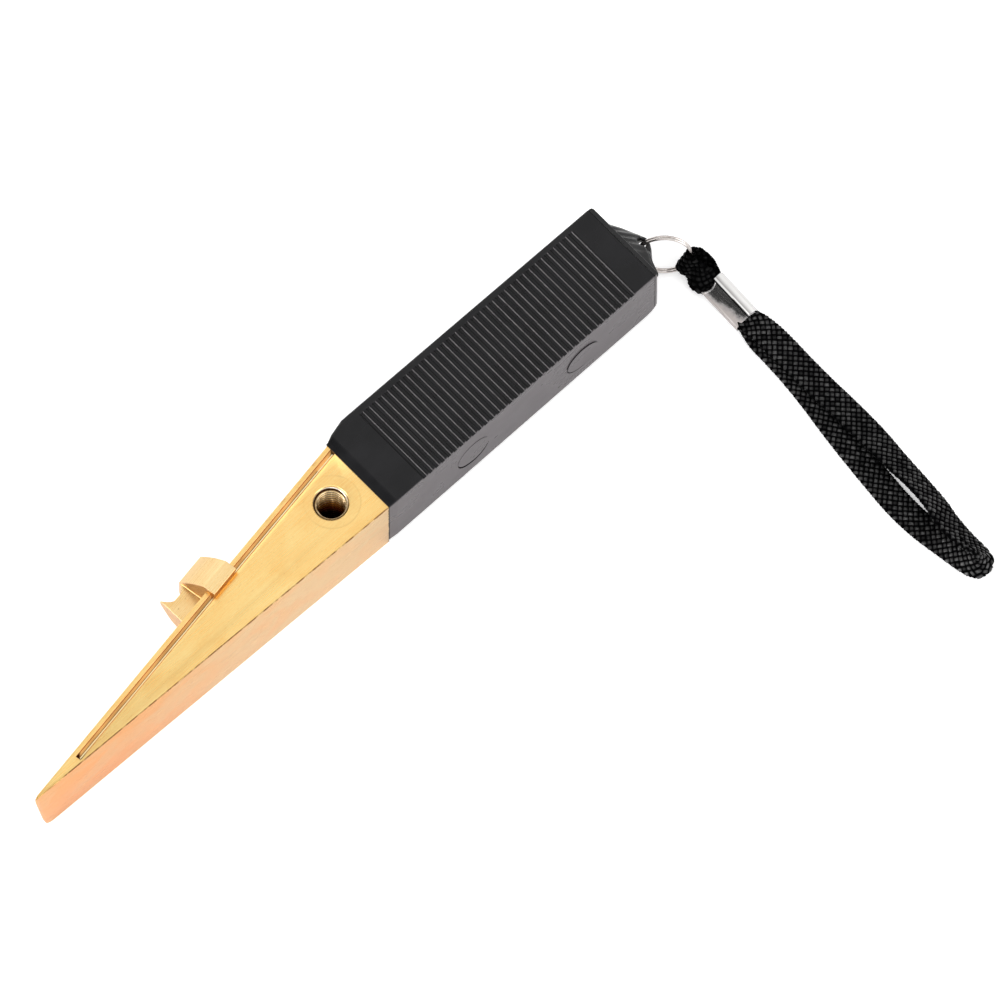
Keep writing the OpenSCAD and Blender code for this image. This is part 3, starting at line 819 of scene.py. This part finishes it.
def grip_section(x, groove=0.0, inset=0.0):
    """(y, z) outline at x, counter-clockwise seen from +X, with its top cut by groove."""
    y0, y1, z0, z1 = grip_limits(x)
    y0, y1, z0, z1 = y0 + inset, y1 - inset, z0 + inset, z1 - inset
    r_bottom, r_rail, r_side = 2.0, 0.7 + 0.2 * mouth_blend(x), 0.45
    points = []

    def corner(y, z, r, start, end, steps):
        for i in range(steps + 1):
            angle = math.radians(start + (end - start) * i / steps)
            points.append([y + r * math.cos(angle), z + r * math.sin(angle)])

    corner(y0 + r_bottom, z0 + r_bottom, r_bottom, 180, 270, 8)
    for i in range(1, 6):
        points.append([y0 + r_bottom + (y1 - y0 - 2 * r_bottom) * i / 6, z0])
    corner(y1 - r_bottom, z0 + r_bottom, r_bottom, 270, 360, 8)
    for i in range(1, 5):
        points.append([y1, z0 + r_bottom + (z1 - r_rail - z0 - r_bottom) * i / 5])
    corner(y1 - r_rail, z1 - r_rail, r_rail, 0, 90, 8)
    for offset, share in GROOVE_RUNOUT:
        y = GROOVE_END_Y + offset
        points.append([min(y, y1 - r_rail - 0.02) if offset > 0 else y, z1 - groove * share])
    full = GROOVE_END_Y - 0.3
    for i in range(1, 10):
        points.append([full + (y0 + r_side + 0.05 - full) * i / 9, z1 - groove])
    first = len(points)
    corner(y0 + r_side, z1 - r_side, r_side, 90, 180, 5)
    for point in points[first:]:
        point[1] = min(point[1], z1 - groove)
    for i in range(1, 8):
        z = z1 - r_side + (z0 + r_bottom - (z1 - r_side)) * (i / 8) ** 1.3
        points.append([y0, min(z, z1 - groove)])
    return points


def loft(name, stations, cavity=None):
    """Closed solid through (x, outline) stations; cavity is a hollow's y0, y1, z0, z1."""
    verts, count = [], len(stations[0][1])
    for x, outline in stations:
        verts += [(x, y, z) for y, z in outline]
    faces = grid_faces(len(stations), count)
    last = (len(stations) - 1) * count
    if cavity is None:
        for base, (x, outline), flip in ((0, stations[0], True), (last, stations[-1], False)):
            centre = np.mean(np.array(outline), axis=0)
            verts.append((x, centre[0], centre[1]))
            faces += fan(len(verts) - 1, list(range(base, base + count)), flip)
    else:
        y0, y1, z0, z1 = cavity
        centre = np.array([(y0 + y1) / 2, (z0 + z1) / 2])
        front = len(verts)
        rear = front + count
        for x, outline in (stations[0], stations[-1]):
            for y, z in outline:
                ray = np.array([y, z]) - centre
                scale = max(abs(ray[0]) / ((y1 - y0) / 2), abs(ray[1]) / ((z1 - z0) / 2))
                verts.append((x, *(centre + ray / scale)))
        for j in range(count):
            k = (j + 1) % count
            faces.append((j, k, front + k, front + j))
            faces.append((last + j, rear + j, rear + k, last + k))
            faces.append((front + j, front + k, rear + k, rear + j))
    return outward(new_object(name, verts, faces, 42))


# x from a groove's edge into it, and the depth there
GROOVE_EDGE = [(-0.26, 0.0), (-0.15, 0.035), (-0.07, 0.11), (-0.01, 0.22), (0.03, 0.42),
               (0.07, 0.62), (0.13, 0.69)]
# plain stations behind the mouth
MOUTH_STATIONS = (0.3, 0.8, 1.4, 2.0, 2.5, 2.8, 2.95, 3.05, 3.25, 3.7, 4.6, 6, 8, 10, 12)


def grip_stations():
    """Sorted (x, inset, groove depth) rows."""
    rows = [(MOUTH_X + 0.03, 0.10, 0), (MOUTH_X + 0.10, 0.02, 0)]
    rows += [(MOUTH_X + back, 0.0, 0) for back in MOUTH_STATIONS]
    for i in range(GROOVE_COUNT):
        start = GROOVE_X + i * GROOVE_PITCH
        rows += [(start + offset, 0.0, depth) for offset, depth in GROOVE_EDGE]
        rows.append((start + GROOVE_WIDTH * 0.5, 0.0, GROOVE_DEPTH))
        rows += [(start + GROOVE_WIDTH - offset, 0.0, depth) for offset, depth in GROOVE_EDGE]
    end = GROOVE_X + (GROOVE_COUNT - 1) * GROOVE_PITCH + GROOVE_WIDTH
    rows += [(end + back, 0.0, 0) for back in (1.0, 2.5, 4.0)]
    start = GRIP_REAR_X - 4.7
    rows += [(start + (CAP_X - 0.14 - start) * i / 11, 0.0, 0) for i in range(1, 12)]
    rows += [(CAP_X - 0.10, 0.04, 0), (CAP_X - 0.04, 0.15, 0)]
    return sorted(rows)


def grip():
    stations = [(x, grip_section(x, groove, inset)) for x, inset, groove in grip_stations()]
    ob = loft("grip_shell", stations, cavity=(-8.85, 11.25, 2.95, 23.05))
    cutters = []
    for x in (COVERS_LOW[0] + COVER_RADIUS, COVERS_HIGH[0] - COVER_RADIUS):
        # each cover's round seat, and a second one slightly lower
        for name, r, depth, z in (("seat", 5.903, 1.06, 13.0), ("pry", 5.90, 0.98, 12.42)):
            profile = [(0.01, -1.2), (r, -1.2), (r, depth), (0.01, depth)]
            cutters.append(revolve(name, profile, (x, GRIP_SIDE_Y, z), (0, 1, 0), 128))
    cut_shell(ob, cutters, sharp=42)
    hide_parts("grip_sleeve")
    dress(ob, GRIP_PLASTIC, "root")


grip()


# ---- end cap ----------------------------------------------------------------
def cap_flange():
    start = CAP_X + 0.18
    rows = [(CAP_X + 0.03, 0.16), (CAP_X + 0.10, 0.05), (start, 0.0)]
    rows += [(start + (GRIP_REAR_X - CAP_X - 0.18) * math.sin(math.pi / 2 * i / 16), 0.0)
             for i in range(1, 16)]
    rows.append((GRIP_REAR_X - 0.004, 0.02))
    ob = loft("end_cap_flange", [(x, grip_section(x, inset=inset)) for x, inset in rows])
    sink = [(0.01, 1.0), (3.8, 1.0), (3.8, -0.05), (2.05, -1.75), (2.05, -3), (0.01, -3)]
    cutters = [revolve("sink", sink, (GRIP_REAR_X, y, 7.0), (1, 0, 0), 64)
               for y in (CAP_SCREWS_LOW[1] + 3.6, CAP_SCREWS_HIGH[1] - 3.6)]
    cut_shell(ob, cutters, sharp=35)
    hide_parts("end_cap")
    dress(ob, CAP_PLASTIC, "root")


# (x, y) outline of the lug, from its +Y root round the tip to its -Y root
LUG_OUTLINE = np.array([
    (GRIP_REAR_X - 0.3, 15.0), (115.4, 14.7), (117.1, 12.0), (119.0, 9.5), (121.1, 5.9),
    (122.4, 3.7), (123.0, 2.4), (122.9, 1.2), (122.5, 0.1), (121.7, -1.2), (120.3, -2.9),
    (119.2, -4.4), (118.5, -6.4), (118.2, -8.0), (GRIP_REAR_X - 0.3, -9.5)])
LUG_HOLE_RADIUS = 1.14
LUG_Z = 12                                  # level of the lug's parting plane


def lug_reach(angle):
    """Distance from the hole's centre to the outline."""
    ray = np.array([math.cos(angle), math.sin(angle)])
    best = 1e9
    for i in range(len(LUG_OUTLINE)):
        a = LUG_OUTLINE[i] - LUG_HOLE
        side = LUG_OUTLINE[(i + 1) % len(LUG_OUTLINE)] - LUG_HOLE - a
        cross = ray[0] * side[1] - ray[1] * side[0]
        if abs(cross) < 1e-9:
            continue
        reach = (a[0] * side[1] - a[1] * side[0]) / cross
        share = (a[0] * ray[1] - a[1] * ray[0]) / cross
        if reach > 0 and -1e-6 <= share <= 1 + 1e-6:
            best = min(best, reach)
    return best


def lug_edge_gap(point):
    """Distance to the outline, without its root edge, which isn't rounded."""
    best = 1e9
    for a, b in zip(LUG_OUTLINE, LUG_OUTLINE[1:]):
        side = b - a
        share = min(1, max(0, np.dot(point - a, side) / np.dot(side, side)))
        best = min(best, np.linalg.norm(point - a - share * side))
    return best


def lug_heights(x, y, r, low):
    """Top and bottom z at a point; low is 1 in the sector the ring sweeps over."""
    gap = lug_edge_gap(np.array([x, y]))
    ridge = min(1.0, max(0.12, (y + 7.5) / 9.5))
    near_hole = smooth01((4.6 - r) / 2.0)
    rise = 1.02 * max(0.0, 122.9 - x) * ridge * (1 - low * near_hole
                                                 - 0.35 * low * (1 - near_hole))
    rise *= 1 + 0.05 * math.sin(3.1 * (0.53 * x + 0.85 * y))    # shallow flutes
    hole_round = 0.35 + 0.65 * quarter_round((r - LUG_HOLE_RADIUS) / 0.7)
    top = LUG_Z + 0.06 + (1.10 + rise) * quarter_round(gap / (0.9 + 0.30 * rise)) * hole_round
    if x < GRIP_REAR_X:
        top = min(top, 24.0)
    return top, LUG_Z - 0.06 - 1.1 * quarter_round(gap / 0.8) * hole_round


def cap_lug():
    """A nose that rises towards the grip and +Y, with the ring's hole through its tip."""
    spokes, steps = 160, 26
    top, bottom = [], []
    for i in range(spokes):
        angle = 2 * math.pi * i / spokes
        reach = lug_reach(angle)
        degrees = (math.degrees(angle) + 180) % 360 - 180
        low = smooth01((degrees + 112) / 24) * smooth01((66 - degrees) / 24)
        for j in range(steps + 1):
            share = j / steps
            share = 0.35 * share + 0.65 * (0.5 - 0.5 * math.cos(math.pi * share))
            r = LUG_HOLE_RADIUS + (reach - LUG_HOLE_RADIUS) * share
            x, y = LUG_HOLE[0] + r * math.cos(angle), LUG_HOLE[1] + r * math.sin(angle)
            z_top, z_bottom = lug_heights(x, y, r, low)
            top.append((x, y, z_top))
            bottom.append((x, y, z_bottom))
    row, under = steps + 1, len(top)
    faces = grid_faces(spokes, row, close_columns=False, close_rows=True)
    faces += grid_faces(spokes, row, close_columns=False, close_rows=True, offset=under)
    for i in range(spokes):
        a, b = i * row, (i + 1) % spokes * row
        faces.append((a, b, under + b, under + a))
        faces.append((a + steps, under + a + steps, under + b + steps, b + steps))
    lug = outward(new_object("end_cap_lug", top + bottom, faces, 55))
    dress(lug, CAP_PLASTIC, "root")


cap_flange()
cap_lug()


# ---- split ring -------------------------------------------------------------
def ring():
    """Nearly two turns of wire, side by side, crossing over between them."""
    wire_radius, half_gap, steps = 0.40, 0.405, 300
    start, end, crossing = 12, 708, 205.0                 # degrees along and round the coil
    path, radii = [], []
    for i in range(steps + 1):
        turned = start + (end - start) * i / steps
        axial = -half_gap + 2 * half_gap * smooth01((turned - 342) / 36.0)
        angle = math.radians(crossing + turned)
        r = RING_RADIUS + (0.03 if turned > 360 else -0.03)
        path.append(RING_CENTRE + axial * RING_AXIS
                    + r * (math.cos(angle) * RING_OUT + math.sin(angle) * RING_ALONG))
        from_end = min(turned - start, end - turned)
        radii.append(wire_radius * min(1, 0.55 + 0.45 * math.sqrt(min(1, from_end / 4.0))))
    path, radii = np.array(path), np.array(radii)
    verts, faces = sweep(path, np.tile(RING_AXIS, (len(path), 1)), radii, radii, 16)
    ob = outward(new_object("split_ring_coil", verts, faces, 60))
    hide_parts("split_ring")
    dress(ob, RING_STEEL, "ring")


ring()

# ---- crimp sleeve -----------------------------------------------------------
# (across, out) through the sheet's middle: under the flap, over the main face, round the
# -across edge, along the back, round the +across edge, and back over as the flap
CRIMP_PROFILE = np.array([
    (3.35, 0.72), (2.2, 1.02), (0.8, 1.28), (-1.2, 1.40), (-3.0, 1.36), (-3.55, 1.22),
    (-3.9, 0.85), (-3.98, 0.3), (-3.98, -0.5), (-3.85, -1.0), (-3.45, -1.32), (-2.6, -1.39),
    (2.6, -1.39), (3.45, -1.32), (3.85, -1.0), (3.98, -0.5), (3.98, 0.6), (3.90, 1.18),
    (3.62, 1.60), (3.1, 1.80), (2.4, 1.83), (1.85, 1.86), (1.52, 1.95), (1.34, 1.86)])
CRIMP_HALF_LENGTH = 7.5


def crimp_point(along, across, out):
    return CRIMP_CENTRE + CRIMP_ALONG * along + CRIMP_ACROSS * across + CRIMP_OUT * out


def lengths_along(points):
    return np.r_[0, np.cumsum(np.linalg.norm(np.diff(points, axis=0), axis=1))]


def interp_rows(at, known, rows):
    return np.array([np.interp(at, known, column) for column in rows.T]).T


def main_face_point(share, y, z):
    """Concave at the ring end, with raised lips and a small nick at the far end."""
    q = (y + 1.25) / 2.75
    start = -7.45 + (1.35 * max(0, 1 - q * q) if abs(q) < 1 else 0)
    nick = 1.1 * max(0, 1 - ((y + 2.2) / 0.55) ** 2)
    end = CRIMP_HALF_LENGTH - nick - 0.25 * math.cos((y + 1.2) / 2.6 * 1.2)
    t = start + (end - start) * share
    lips = 0.10 * math.exp(-((t - start) / 0.3) ** 2) + 0.10 * math.exp(-((end - t) / 0.4) ** 2)
    dent = 0.10 * math.exp(-((t - 1.0) / 4.0) ** 2) * math.exp(-((y + 0.6) / 1.7) ** 2)
    return crimp_point(t, y, z + lips - dent)


def flap_point(share, y, z):
    """Slightly wavy, with a small step in its edge."""
    end = CRIMP_HALF_LENGTH - 0.2 * max(0, (3.2 - y) / 2)
    t = -CRIMP_HALF_LENGTH + (end + CRIMP_HALF_LENGTH) * share
    wave = 0.05 * math.sin(t * 0.9 + 0.6) * max(0, (3.4 - y) / 2)
    step = 0.22 * smooth01((t - 0.2) / 0.5) * max(0, min(1, (3.2 - y) / 1.4))
    return crimp_point(t, y + step, z + wave)


def crimp():
    known = lengths_along(CRIMP_PROFILE)
    count, rows = 86, 46
    profile = interp_rows(np.linspace(0, known[-1], count), known, CRIMP_PROFILE)
    relax(profile, 2)
    face_end = int(np.argmax(profile[:, 0] < -3.7))
    flap_start = int(count - np.argmax(profile[::-1, 0] > 3.8))
    verts = []
    for row in range(rows):
        share = row / (rows - 1)
        for j, (y, z) in enumerate(profile):
            if j < face_end:
                verts.append(main_face_point(share, y, z))
            elif j >= flap_start:
                verts.append(flap_point(share, y, z))
            else:
                verts.append(crimp_point(CRIMP_HALF_LENGTH * (2 * share - 1), y, z))
    faces = grid_faces(rows, count, close_columns=False)
    ob = outward(new_object("crimp_sleeve", verts, faces))
    sheet = ob.modifiers.new("sheet", "SOLIDIFY")
    sheet.thickness, sheet.offset, sheet.use_even_offset = 0.40 * MM, 0.0, False
    rim = ob.modifiers.new("rim", "BEVEL")
    rim.width, rim.segments, rim.use_clamp_overlap = 0.07 * MM, 2, False
    rim.limit_method, rim.angle_limit = "ANGLE", math.radians(50)
    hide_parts("strap_crimp")
    dress(ob, CRIMP_SHEET, "strap")


crimp()

# ---- braided webbing --------------------------------------------------------
BRAID_HALF, BRAID_EDGE = 3.87, 0.22         # half width, and radius of its rounded edges
BRAID_YARNS = 8                             # yarns each way round
BRAID_ANGLE = math.radians(43.0)
YARN_WAVE, YARN_WIDTH, YARN_THICKNESS, YARN_SIDES = 0.19, 1.22, 0.54, 8
STEPS_PER_CROSSING = 4.5
STRAP_HALF = 4.2                            # the strip's half width at full size


def curve_through(rows, steps, dims):
    """Smooth curve through rows; tangents weighed by chords over the first dims columns."""
    rows = np.asarray(rows, float)
    rows = np.vstack([2 * rows[0] - rows[1], rows, 2 * rows[-1] - rows[-2]])
    out = []
    for p0, p1, p2, p3 in zip(rows, rows[1:], rows[2:], rows[3:]):
        d0, d1, d2 = (max(1e-6, np.linalg.norm(b[:dims] - a[:dims]))
                      for a, b in ((p0, p1), (p1, p2), (p2, p3)))
        m1 = d1 * ((p1 - p0) / d0 * d1 + (p2 - p1) / d1 * d0) / (d0 + d1)
        m2 = d1 * ((p2 - p1) / d1 * d2 + (p3 - p2) / d2 * d1) / (d1 + d2)
        for j in range(steps):
            t = j / steps
            out.append((2 * t ** 3 - 3 * t * t + 1) * p1 + (t ** 3 - 2 * t * t + t) * m1
                       + (-2 * t ** 3 + 3 * t * t) * p2 + (t ** 3 - t * t) * m2)
    out.append(rows[-2])
    return np.array(out)


class Ribbon:
    """A flat strip in space: centre line, width direction, normal and half width."""

    def __init__(self, centre, width, half):
        known = lengths_along(centre)
        self.length = known[-1]
        self.at = np.linspace(0, self.length, max(60, int(self.length / 0.2)))
        self.centre = interp_rows(self.at, known, centre)
        width = interp_rows(self.at, known, width)
        relax(self.centre, 3)
        relax(width, 3)
        tangents = unit_rows(np.gradient(self.centre, axis=0))
        self.width = square_to(width, tangents)
        self.normal = np.cross(tangents, self.width)
        self.half = np.interp(self.at, known, half)

    def sample(self, u):
        """Centre, width direction, normal and relative size at lengths u."""
        centre, width, normal = (interp_rows(u, self.at, rows)
                                 for rows in (self.centre, self.width, self.normal))
        return (centre, unit_rows(width), unit_rows(normal),
                np.interp(u, self.at, self.half) / STRAP_HALF)


def stadium(s):
    """x, y and normal of a flat tube's outline: top, +x end, bottom, -x end."""
    flat, r = BRAID_HALF - BRAID_EDGE, BRAID_EDGE
    x, y, nx, ny = (np.zeros_like(s) for _ in range(4))
    a1, a2 = 2 * flat, 2 * flat + math.pi * r
    a3 = a2 + 2 * flat
    part = s < a1
    x[part], y[part], ny[part] = -flat + s[part], r, 1
    part = (s >= a2) & (s < a3)
    x[part], y[part], ny[part] = flat - (s[part] - a2), -r, -1
    for part, begin, sign in (((s >= a1) & (s < a2), a1, 1), (s >= a3, a3, -1)):
        angle = (s[part] - begin) / r
        nx[part], ny[part] = sign * np.sin(angle), sign * np.cos(angle)
        x[part], y[part] = sign * flat + r * nx[part], r * ny[part]
    return x, y, nx, ny


def braid(name, ribbon, mat):
    """Tubular flat braid, over one and under one."""
    girth = 4 * (BRAID_HALF - BRAID_EDGE) + 2 * math.pi * BRAID_EDGE
    lay = girth / math.tan(BRAID_ANGLE)                   # length of one yarn's full turn
    step = lay / (2 * BRAID_YARNS) / STEPS_PER_CROSSING
    u = np.linspace(0, ribbon.length, int(ribbon.length / step) + 1)
    centre, across, normal, size = ribbon.sample(u)
    rng = np.random.default_rng(7)
    table = rng.random(997)
    verts, faces, uvs, lifts = [], [], [], []
    base = 0
    for direction in (1, -1):
        for k in range(BRAID_YARNS):
            s = (girth * (k / BRAID_YARNS + 0.13) + direction * girth * u / lay) % girth
            x, y, nx, ny = stadium(s)
            crossing = 2 * BRAID_YARNS * u / lay * direction + k + k
            cosine = np.cos(math.pi * crossing)
            pick = np.floor(crossing + 0.5).astype(int) * 7 + k * 131 + (direction + 1) * 57
            chance = table[pick % 997]
            wobble = 1 + 0.10 * np.sin(u * 0.9 + k * 1.7 + direction)
            height = (direction * YARN_WAVE * np.sign(cosine) * np.abs(cosine) ** 0.6
                      * wobble * (0.8 + 0.25 * chance))
            height = height + 0.02 * np.sin(u * 2.1 + 2.3 * k)
            path = (centre + across * (x * size + nx * height)[:, None]
                    + normal * (y + ny * height)[:, None])
            out = across * nx[:, None] + normal * ny[:, None]
            width = (YARN_WIDTH * (1 + 0.06 * rng.standard_normal())
                     * (1 + 0.05 * np.sin(u * 1.3 + 5 * k)))
            yarn_verts, yarn_faces = sweep(path, out, 0.5 * width * size,
                                           np.full(len(u), 0.5 * YARN_THICKNESS),
                                           YARN_SIDES, base)
            verts.append(yarn_verts)
            faces += yarn_faces
            along = np.repeat(u * 1.27 + 3.1 * k, YARN_SIDES)
            turn = np.tile(np.arange(YARN_SIDES) / YARN_SIDES, len(u))
            uvs.append(np.c_[np.r_[along, 0, along[-1]], np.r_[turn, 0, 0]])
            lift = ((0.5 + 0.5 * direction * cosine) * (0.70 + 0.30 * chance)
                    * (1.0 if direction > 0 else 0.90))
            lifts.append(np.r_[np.repeat(lift, YARN_SIDES), 0, 0])
            base += len(yarn_verts)
    ob = new_object(name, np.vstack(verts), faces)
    mesh = ob.data
    layer = mesh.uv_layers.new(name="yarn")
    corners = np.zeros(len(mesh.loops), np.int32)
    mesh.loops.foreach_get("vertex_index", corners)
    layer.data.foreach_set("uv", np.vstack(uvs)[corners].astype(np.float32).ravel())
    attribute = mesh.attributes.new("lift", "FLOAT", "POINT")
    attribute.data.foreach_set("value", np.concatenate(lifts).astype(np.float32))
    outward(ob)
    give(ob, mat)
    return ob


def hand_loop():
    low_in, high_in = crimp_point(0, -3.4, -0.55), crimp_point(0, 3.4, 0.55)
    low_out, high_out = crimp_point(6.2, -3.4, -0.55), crimp_point(6.2, 3.4, 0.55)
    end = LOOP_END_Y
    # outer edge x, y, z; tilt in degrees, inner edge up; half width
    rows = [
        (*low_in, 20, 3.4), (*low_out, 20, 3.4),
        (125.55, -34.2, 1.30, 16, 3.75), (124.75, -38, 1.0, 9, 4.05), (124.6, -44, 0.75, 4, 4.2),
        (124.2, -52, 0.62, 1, 4.2), (123.1, -62, 0.6, 0, 4.2), (121.6, -72, 0.6, 0, 4.2),
        (120.4, -82, 0.6, 0, 4.2), (119.35, -92, 0.6, 0, 4.2), (118.65, -101, 0.6, 0, 4.2),
        (118.75, -109, 0.6, 0, 4.2), (119.5, -116, 0.6, 6, 4.2), (120.5, -122.5, 0.6, 26, 4.2),
        (121.6, end + 5.2, 0.6, 44, 4.2), (122.8, end + 2.0, 0.6, 52, 4.2),
        (124.3, end + 0.35, 0.6, 56, 4.2), (126.6, end - 0.1, 0.6, 58, 4.2),
        (129.0, end + 0.35, 0.6, 58, 4.2), (130.7, end + 1.8, 0.6, 56, 4.2),
        (131.5, end + 4.6, 0.6, 50, 4.2), (131.7, -122.5, 0.6, 38, 4.2),
        (132.2, -116, 0.9, 30, 4.2), (133.15, -110, 1.1, 33, 4.2), (133.75, -102, 1.2, 34, 4.2),
        (134.4, -92, 1.3, 24, 4.2), (135.2, -82, 1.4, 13, 4.2), (135.3, -72, 1.5, 6, 4.2),
        (135.1, -62, 1.6, 3, 4.2), (135.1, -52, 1.8, 1, 4.2), (135.1, -44, 2.7, -7, 4.2),
        (134.5, -38, 3.8, -13, 4.05), (133.5, -34.2, 4.6, -17, 3.75),
        (*high_out, -20, 3.4), (*high_in, -20, 3.4)]
    curve = curve_through(rows, 24, dims=2)
    heading = np.gradient(curve[:, :2], axis=0)
    relax(heading, 10)
    heading = unit_rows(heading)
    inward = np.c_[-heading[:, 1], heading[:, 0], np.zeros(len(heading))]
    tilt, half = np.radians(curve[:, 3])[:, None], curve[:, 4]
    width = inward * np.cos(tilt) + np.array([0, 0, 1.0]) * np.sin(tilt)
    centre = curve[:, :3] + width * half[:, None]
    ob = braid("braided_hand_loop", Ribbon(centre, width, half), LOOP_WEBBING)
    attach(ob, "strap")
    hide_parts("strap_hand_loop")


def ring_loop():
    """The fold round the ring's wire, with both legs running into the crimp."""
    angle = math.radians(-25)
    out = math.cos(angle) * RING_OUT + math.sin(angle) * RING_ALONG
    along = -math.sin(angle) * RING_OUT + math.cos(angle) * RING_ALONG
    wire, wrap = RING_CENTRE + RING_RADIUS * out, 1.9
    front = wire + RING_AXIS * (wrap + 0.2) + out * 1.2
    back = wire - RING_AXIS * (wrap + 0.5) + out * 1.0
    mouth_front, mouth_back = crimp_point(-7.6, 0, 0.7), crimp_point(-7.6, 0, -0.7)
    across, turning = CRIMP_ACROSS, CRIMP_ACROSS + along
    # centre, width direction, half width
    keys = [(crimp_point(-0.5, 0, 0.55), across, 3.4), (crimp_point(-5.0, 0, 0.55), across, 3.4),
            (mouth_front, across, 3.9),
            (0.5 * (mouth_front + front) + RING_AXIS * 1.1 - along * 0.3, turning, 4.5),
            (front, along, 4.1)]
    for degrees in (15, 50, 90, 130, 165):
        a = math.radians(degrees)
        keys.append((wire + wrap * (math.cos(a) * RING_AXIS - math.sin(a) * out), along, 3.9))
    keys += [(back, along, 4.1),
             (0.5 * (mouth_back + back) - RING_AXIS * 1.6, turning, 3.95),
             (mouth_back, across, 3.6), (crimp_point(-5.0, 0, -0.55), across, 3.4),
             (crimp_point(-0.5, 0, -0.55), across, 3.4)]
    rows = [(*centre, *(width / np.linalg.norm(width)), half) for centre, width, half in keys]
    curve = curve_through(rows, 16, dims=3)
    ribbon = Ribbon(curve[:, :3], curve[:, 3:6], curve[:, 6])
    ob = braid("braided_ring_loop", ribbon, SHADED_FOLD_WEBBING)
    # the direction and distance from the wire to the crimp's mouth
    leg = crimp_point(-7.6, 0, 0) - wire
    reach = np.linalg.norm(leg)
    leg = leg / reach
    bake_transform(ob)
    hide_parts("strap_ring_loop")


hand_loop()
ring_loop()

# ---- stage (metres) ---------------------------------------------------------
VIEW_CENTRE = Vector(np.array([38.7, -27.8, 12.7]) * MM)
FLOOR_HALF, FLOOR_Z = 4.0, -0.00002


def floor():
    mesh = bpy.data.meshes.new("floor")
    mesh.from_pydata([(x * FLOOR_HALF, y * FLOOR_HALF, FLOOR_Z)
                      for x, y in ((-1, -1), (1, -1), (1, 1), (-1, 1))], [], [(0, 1, 2, 3)])
    ob = bpy.data.objects.new("floor", mesh)
    SCENE.collection.objects.link(ob)
    mat = Mat("floor_paper")
    grain = mat.noise((400, 400, 400), detail=3, rough=0.5)
    place = mat.split(mat.node("NewGeometry").outputs["Position"])
    # a glow, stronger to the camera, with none of it under the cable hole
    clear = mat.remap(mat.radius(place[0], place[1]), 0.009, 0.012)
    to_camera = mat.node("LightPath").outputs["Is Camera Ray"]
    mat.set(color=mat.mix(grain, (0.86, 0.86, 0.86), (0.90, 0.90, 0.90)), rough=0.75, spec=0.2,
            glow_color=(1, 1, 1), glow=mat.mul(clear, mat.add(mat.mul(to_camera, 0.34), 0.10)))
    # seen from below the floor is clear, so that the underside can be looked at
    mixer = mat.node("MixShader")
    mat.put(mixer.inputs[0], mat.node("NewGeometry").outputs["Backfacing"])
    mat.put(mixer.inputs[1], mat.shader.outputs[0])
    mat.put(mixer.inputs[2], mat.node("BsdfTransparent").outputs[0])
    mat.put(mat.output.inputs[0], mixer.outputs[0])
    mesh.materials.append(mat.material)


# operation, direction, full within and gone beyond (degrees), strength
WORLD_PATCHES = (
    ("SUBTRACT", (-0.36, 0.31, 0.88), 16, 22, 0.94),      # dark card overhead
    ("SUBTRACT", (0.75, 0.60, 0.28), 18, 34, 0.35),       # dimmer beyond the rear, +Y side
    ("ADD", (-0.90, 0.25, 0.30), 10, 24, 5.0),            # light at the tip
    ("ADD", (0.20, -0.93, 0.32), 10, 26, 2.6),            # softbox on the straight side
    ("ADD", (0.255, 0.274, 0.927), 10, 20, 0.10),         # over the level faces
)


def world():
    studio = bpy.data.worlds.new("studio")
    SCENE.world = studio
    studio.use_nodes = True
    nodes = Nodes(studio.node_tree)
    output, background = nodes.node("OutputWorld"), nodes.node("Background")
    direction = nodes.node("TexCoord").outputs["Generated"]
    nodes.put(output.inputs[0], background.outputs[0])
    strength = 0.98
    for operation, centre, inner, outer, amount in WORLD_PATCHES:
        facing = nodes.dot(direction, tuple(Vector(centre).normalized()))
        patch = nodes.remap(facing, math.cos(math.radians(outer)),
                            math.cos(math.radians(inner)), smooth=True)
        strength = nodes.math(operation, strength, nodes.mul(patch, amount))
    nodes.put(background.inputs["Strength"], strength)
    background.inputs["Color"].default_value = (1.0, 0.995, 0.99, 1)


def aim(ob, direction):
    ob.rotation_mode = "QUATERNION"
    ob.rotation_quaternion = direction.to_track_quat("-Z", "Y")


def lights():
    for name, place, size, power in (("key", (-0.38, -0.22, 0.80), 0.26, 0.62),
                                     ("fill", (0.10, 0.75, 0.55), 0.3, 0.35)):
        light = bpy.data.lights.new(name, "AREA")
        light.shape, light.size, light.energy = "SQUARE", size, power
        ob = bpy.data.objects.new(name, light)
        ob.location = place
        aim(ob, VIEW_CENTRE - Vector(place))
        ob.visible_camera = False
        SCENE.collection.objects.link(ob)


def camera():
    lens = bpy.data.cameras.new("camera")
    lens.lens, lens.sensor_width, lens.clip_start, lens.clip_end = 1200, 36, 0.05, 50
    ob = bpy.data.objects.new("camera", lens)
    SCENE.collection.objects.link(ob)
    turn, height = math.radians(-43), math.radians(68)
    back = Vector((math.sin(turn) * math.cos(height), -math.cos(turn) * math.cos(height),
                   math.sin(height)))
    view_width = 0.28
    ob.location = VIEW_CENTRE + back * (view_width * lens.lens / 36)
    aim(ob, -back)
    SCENE.camera = ob
    SCENE.view_settings.view_transform = "Standard"
    SCENE.view_settings.look = "None"


floor()
world()
lights()
camera()
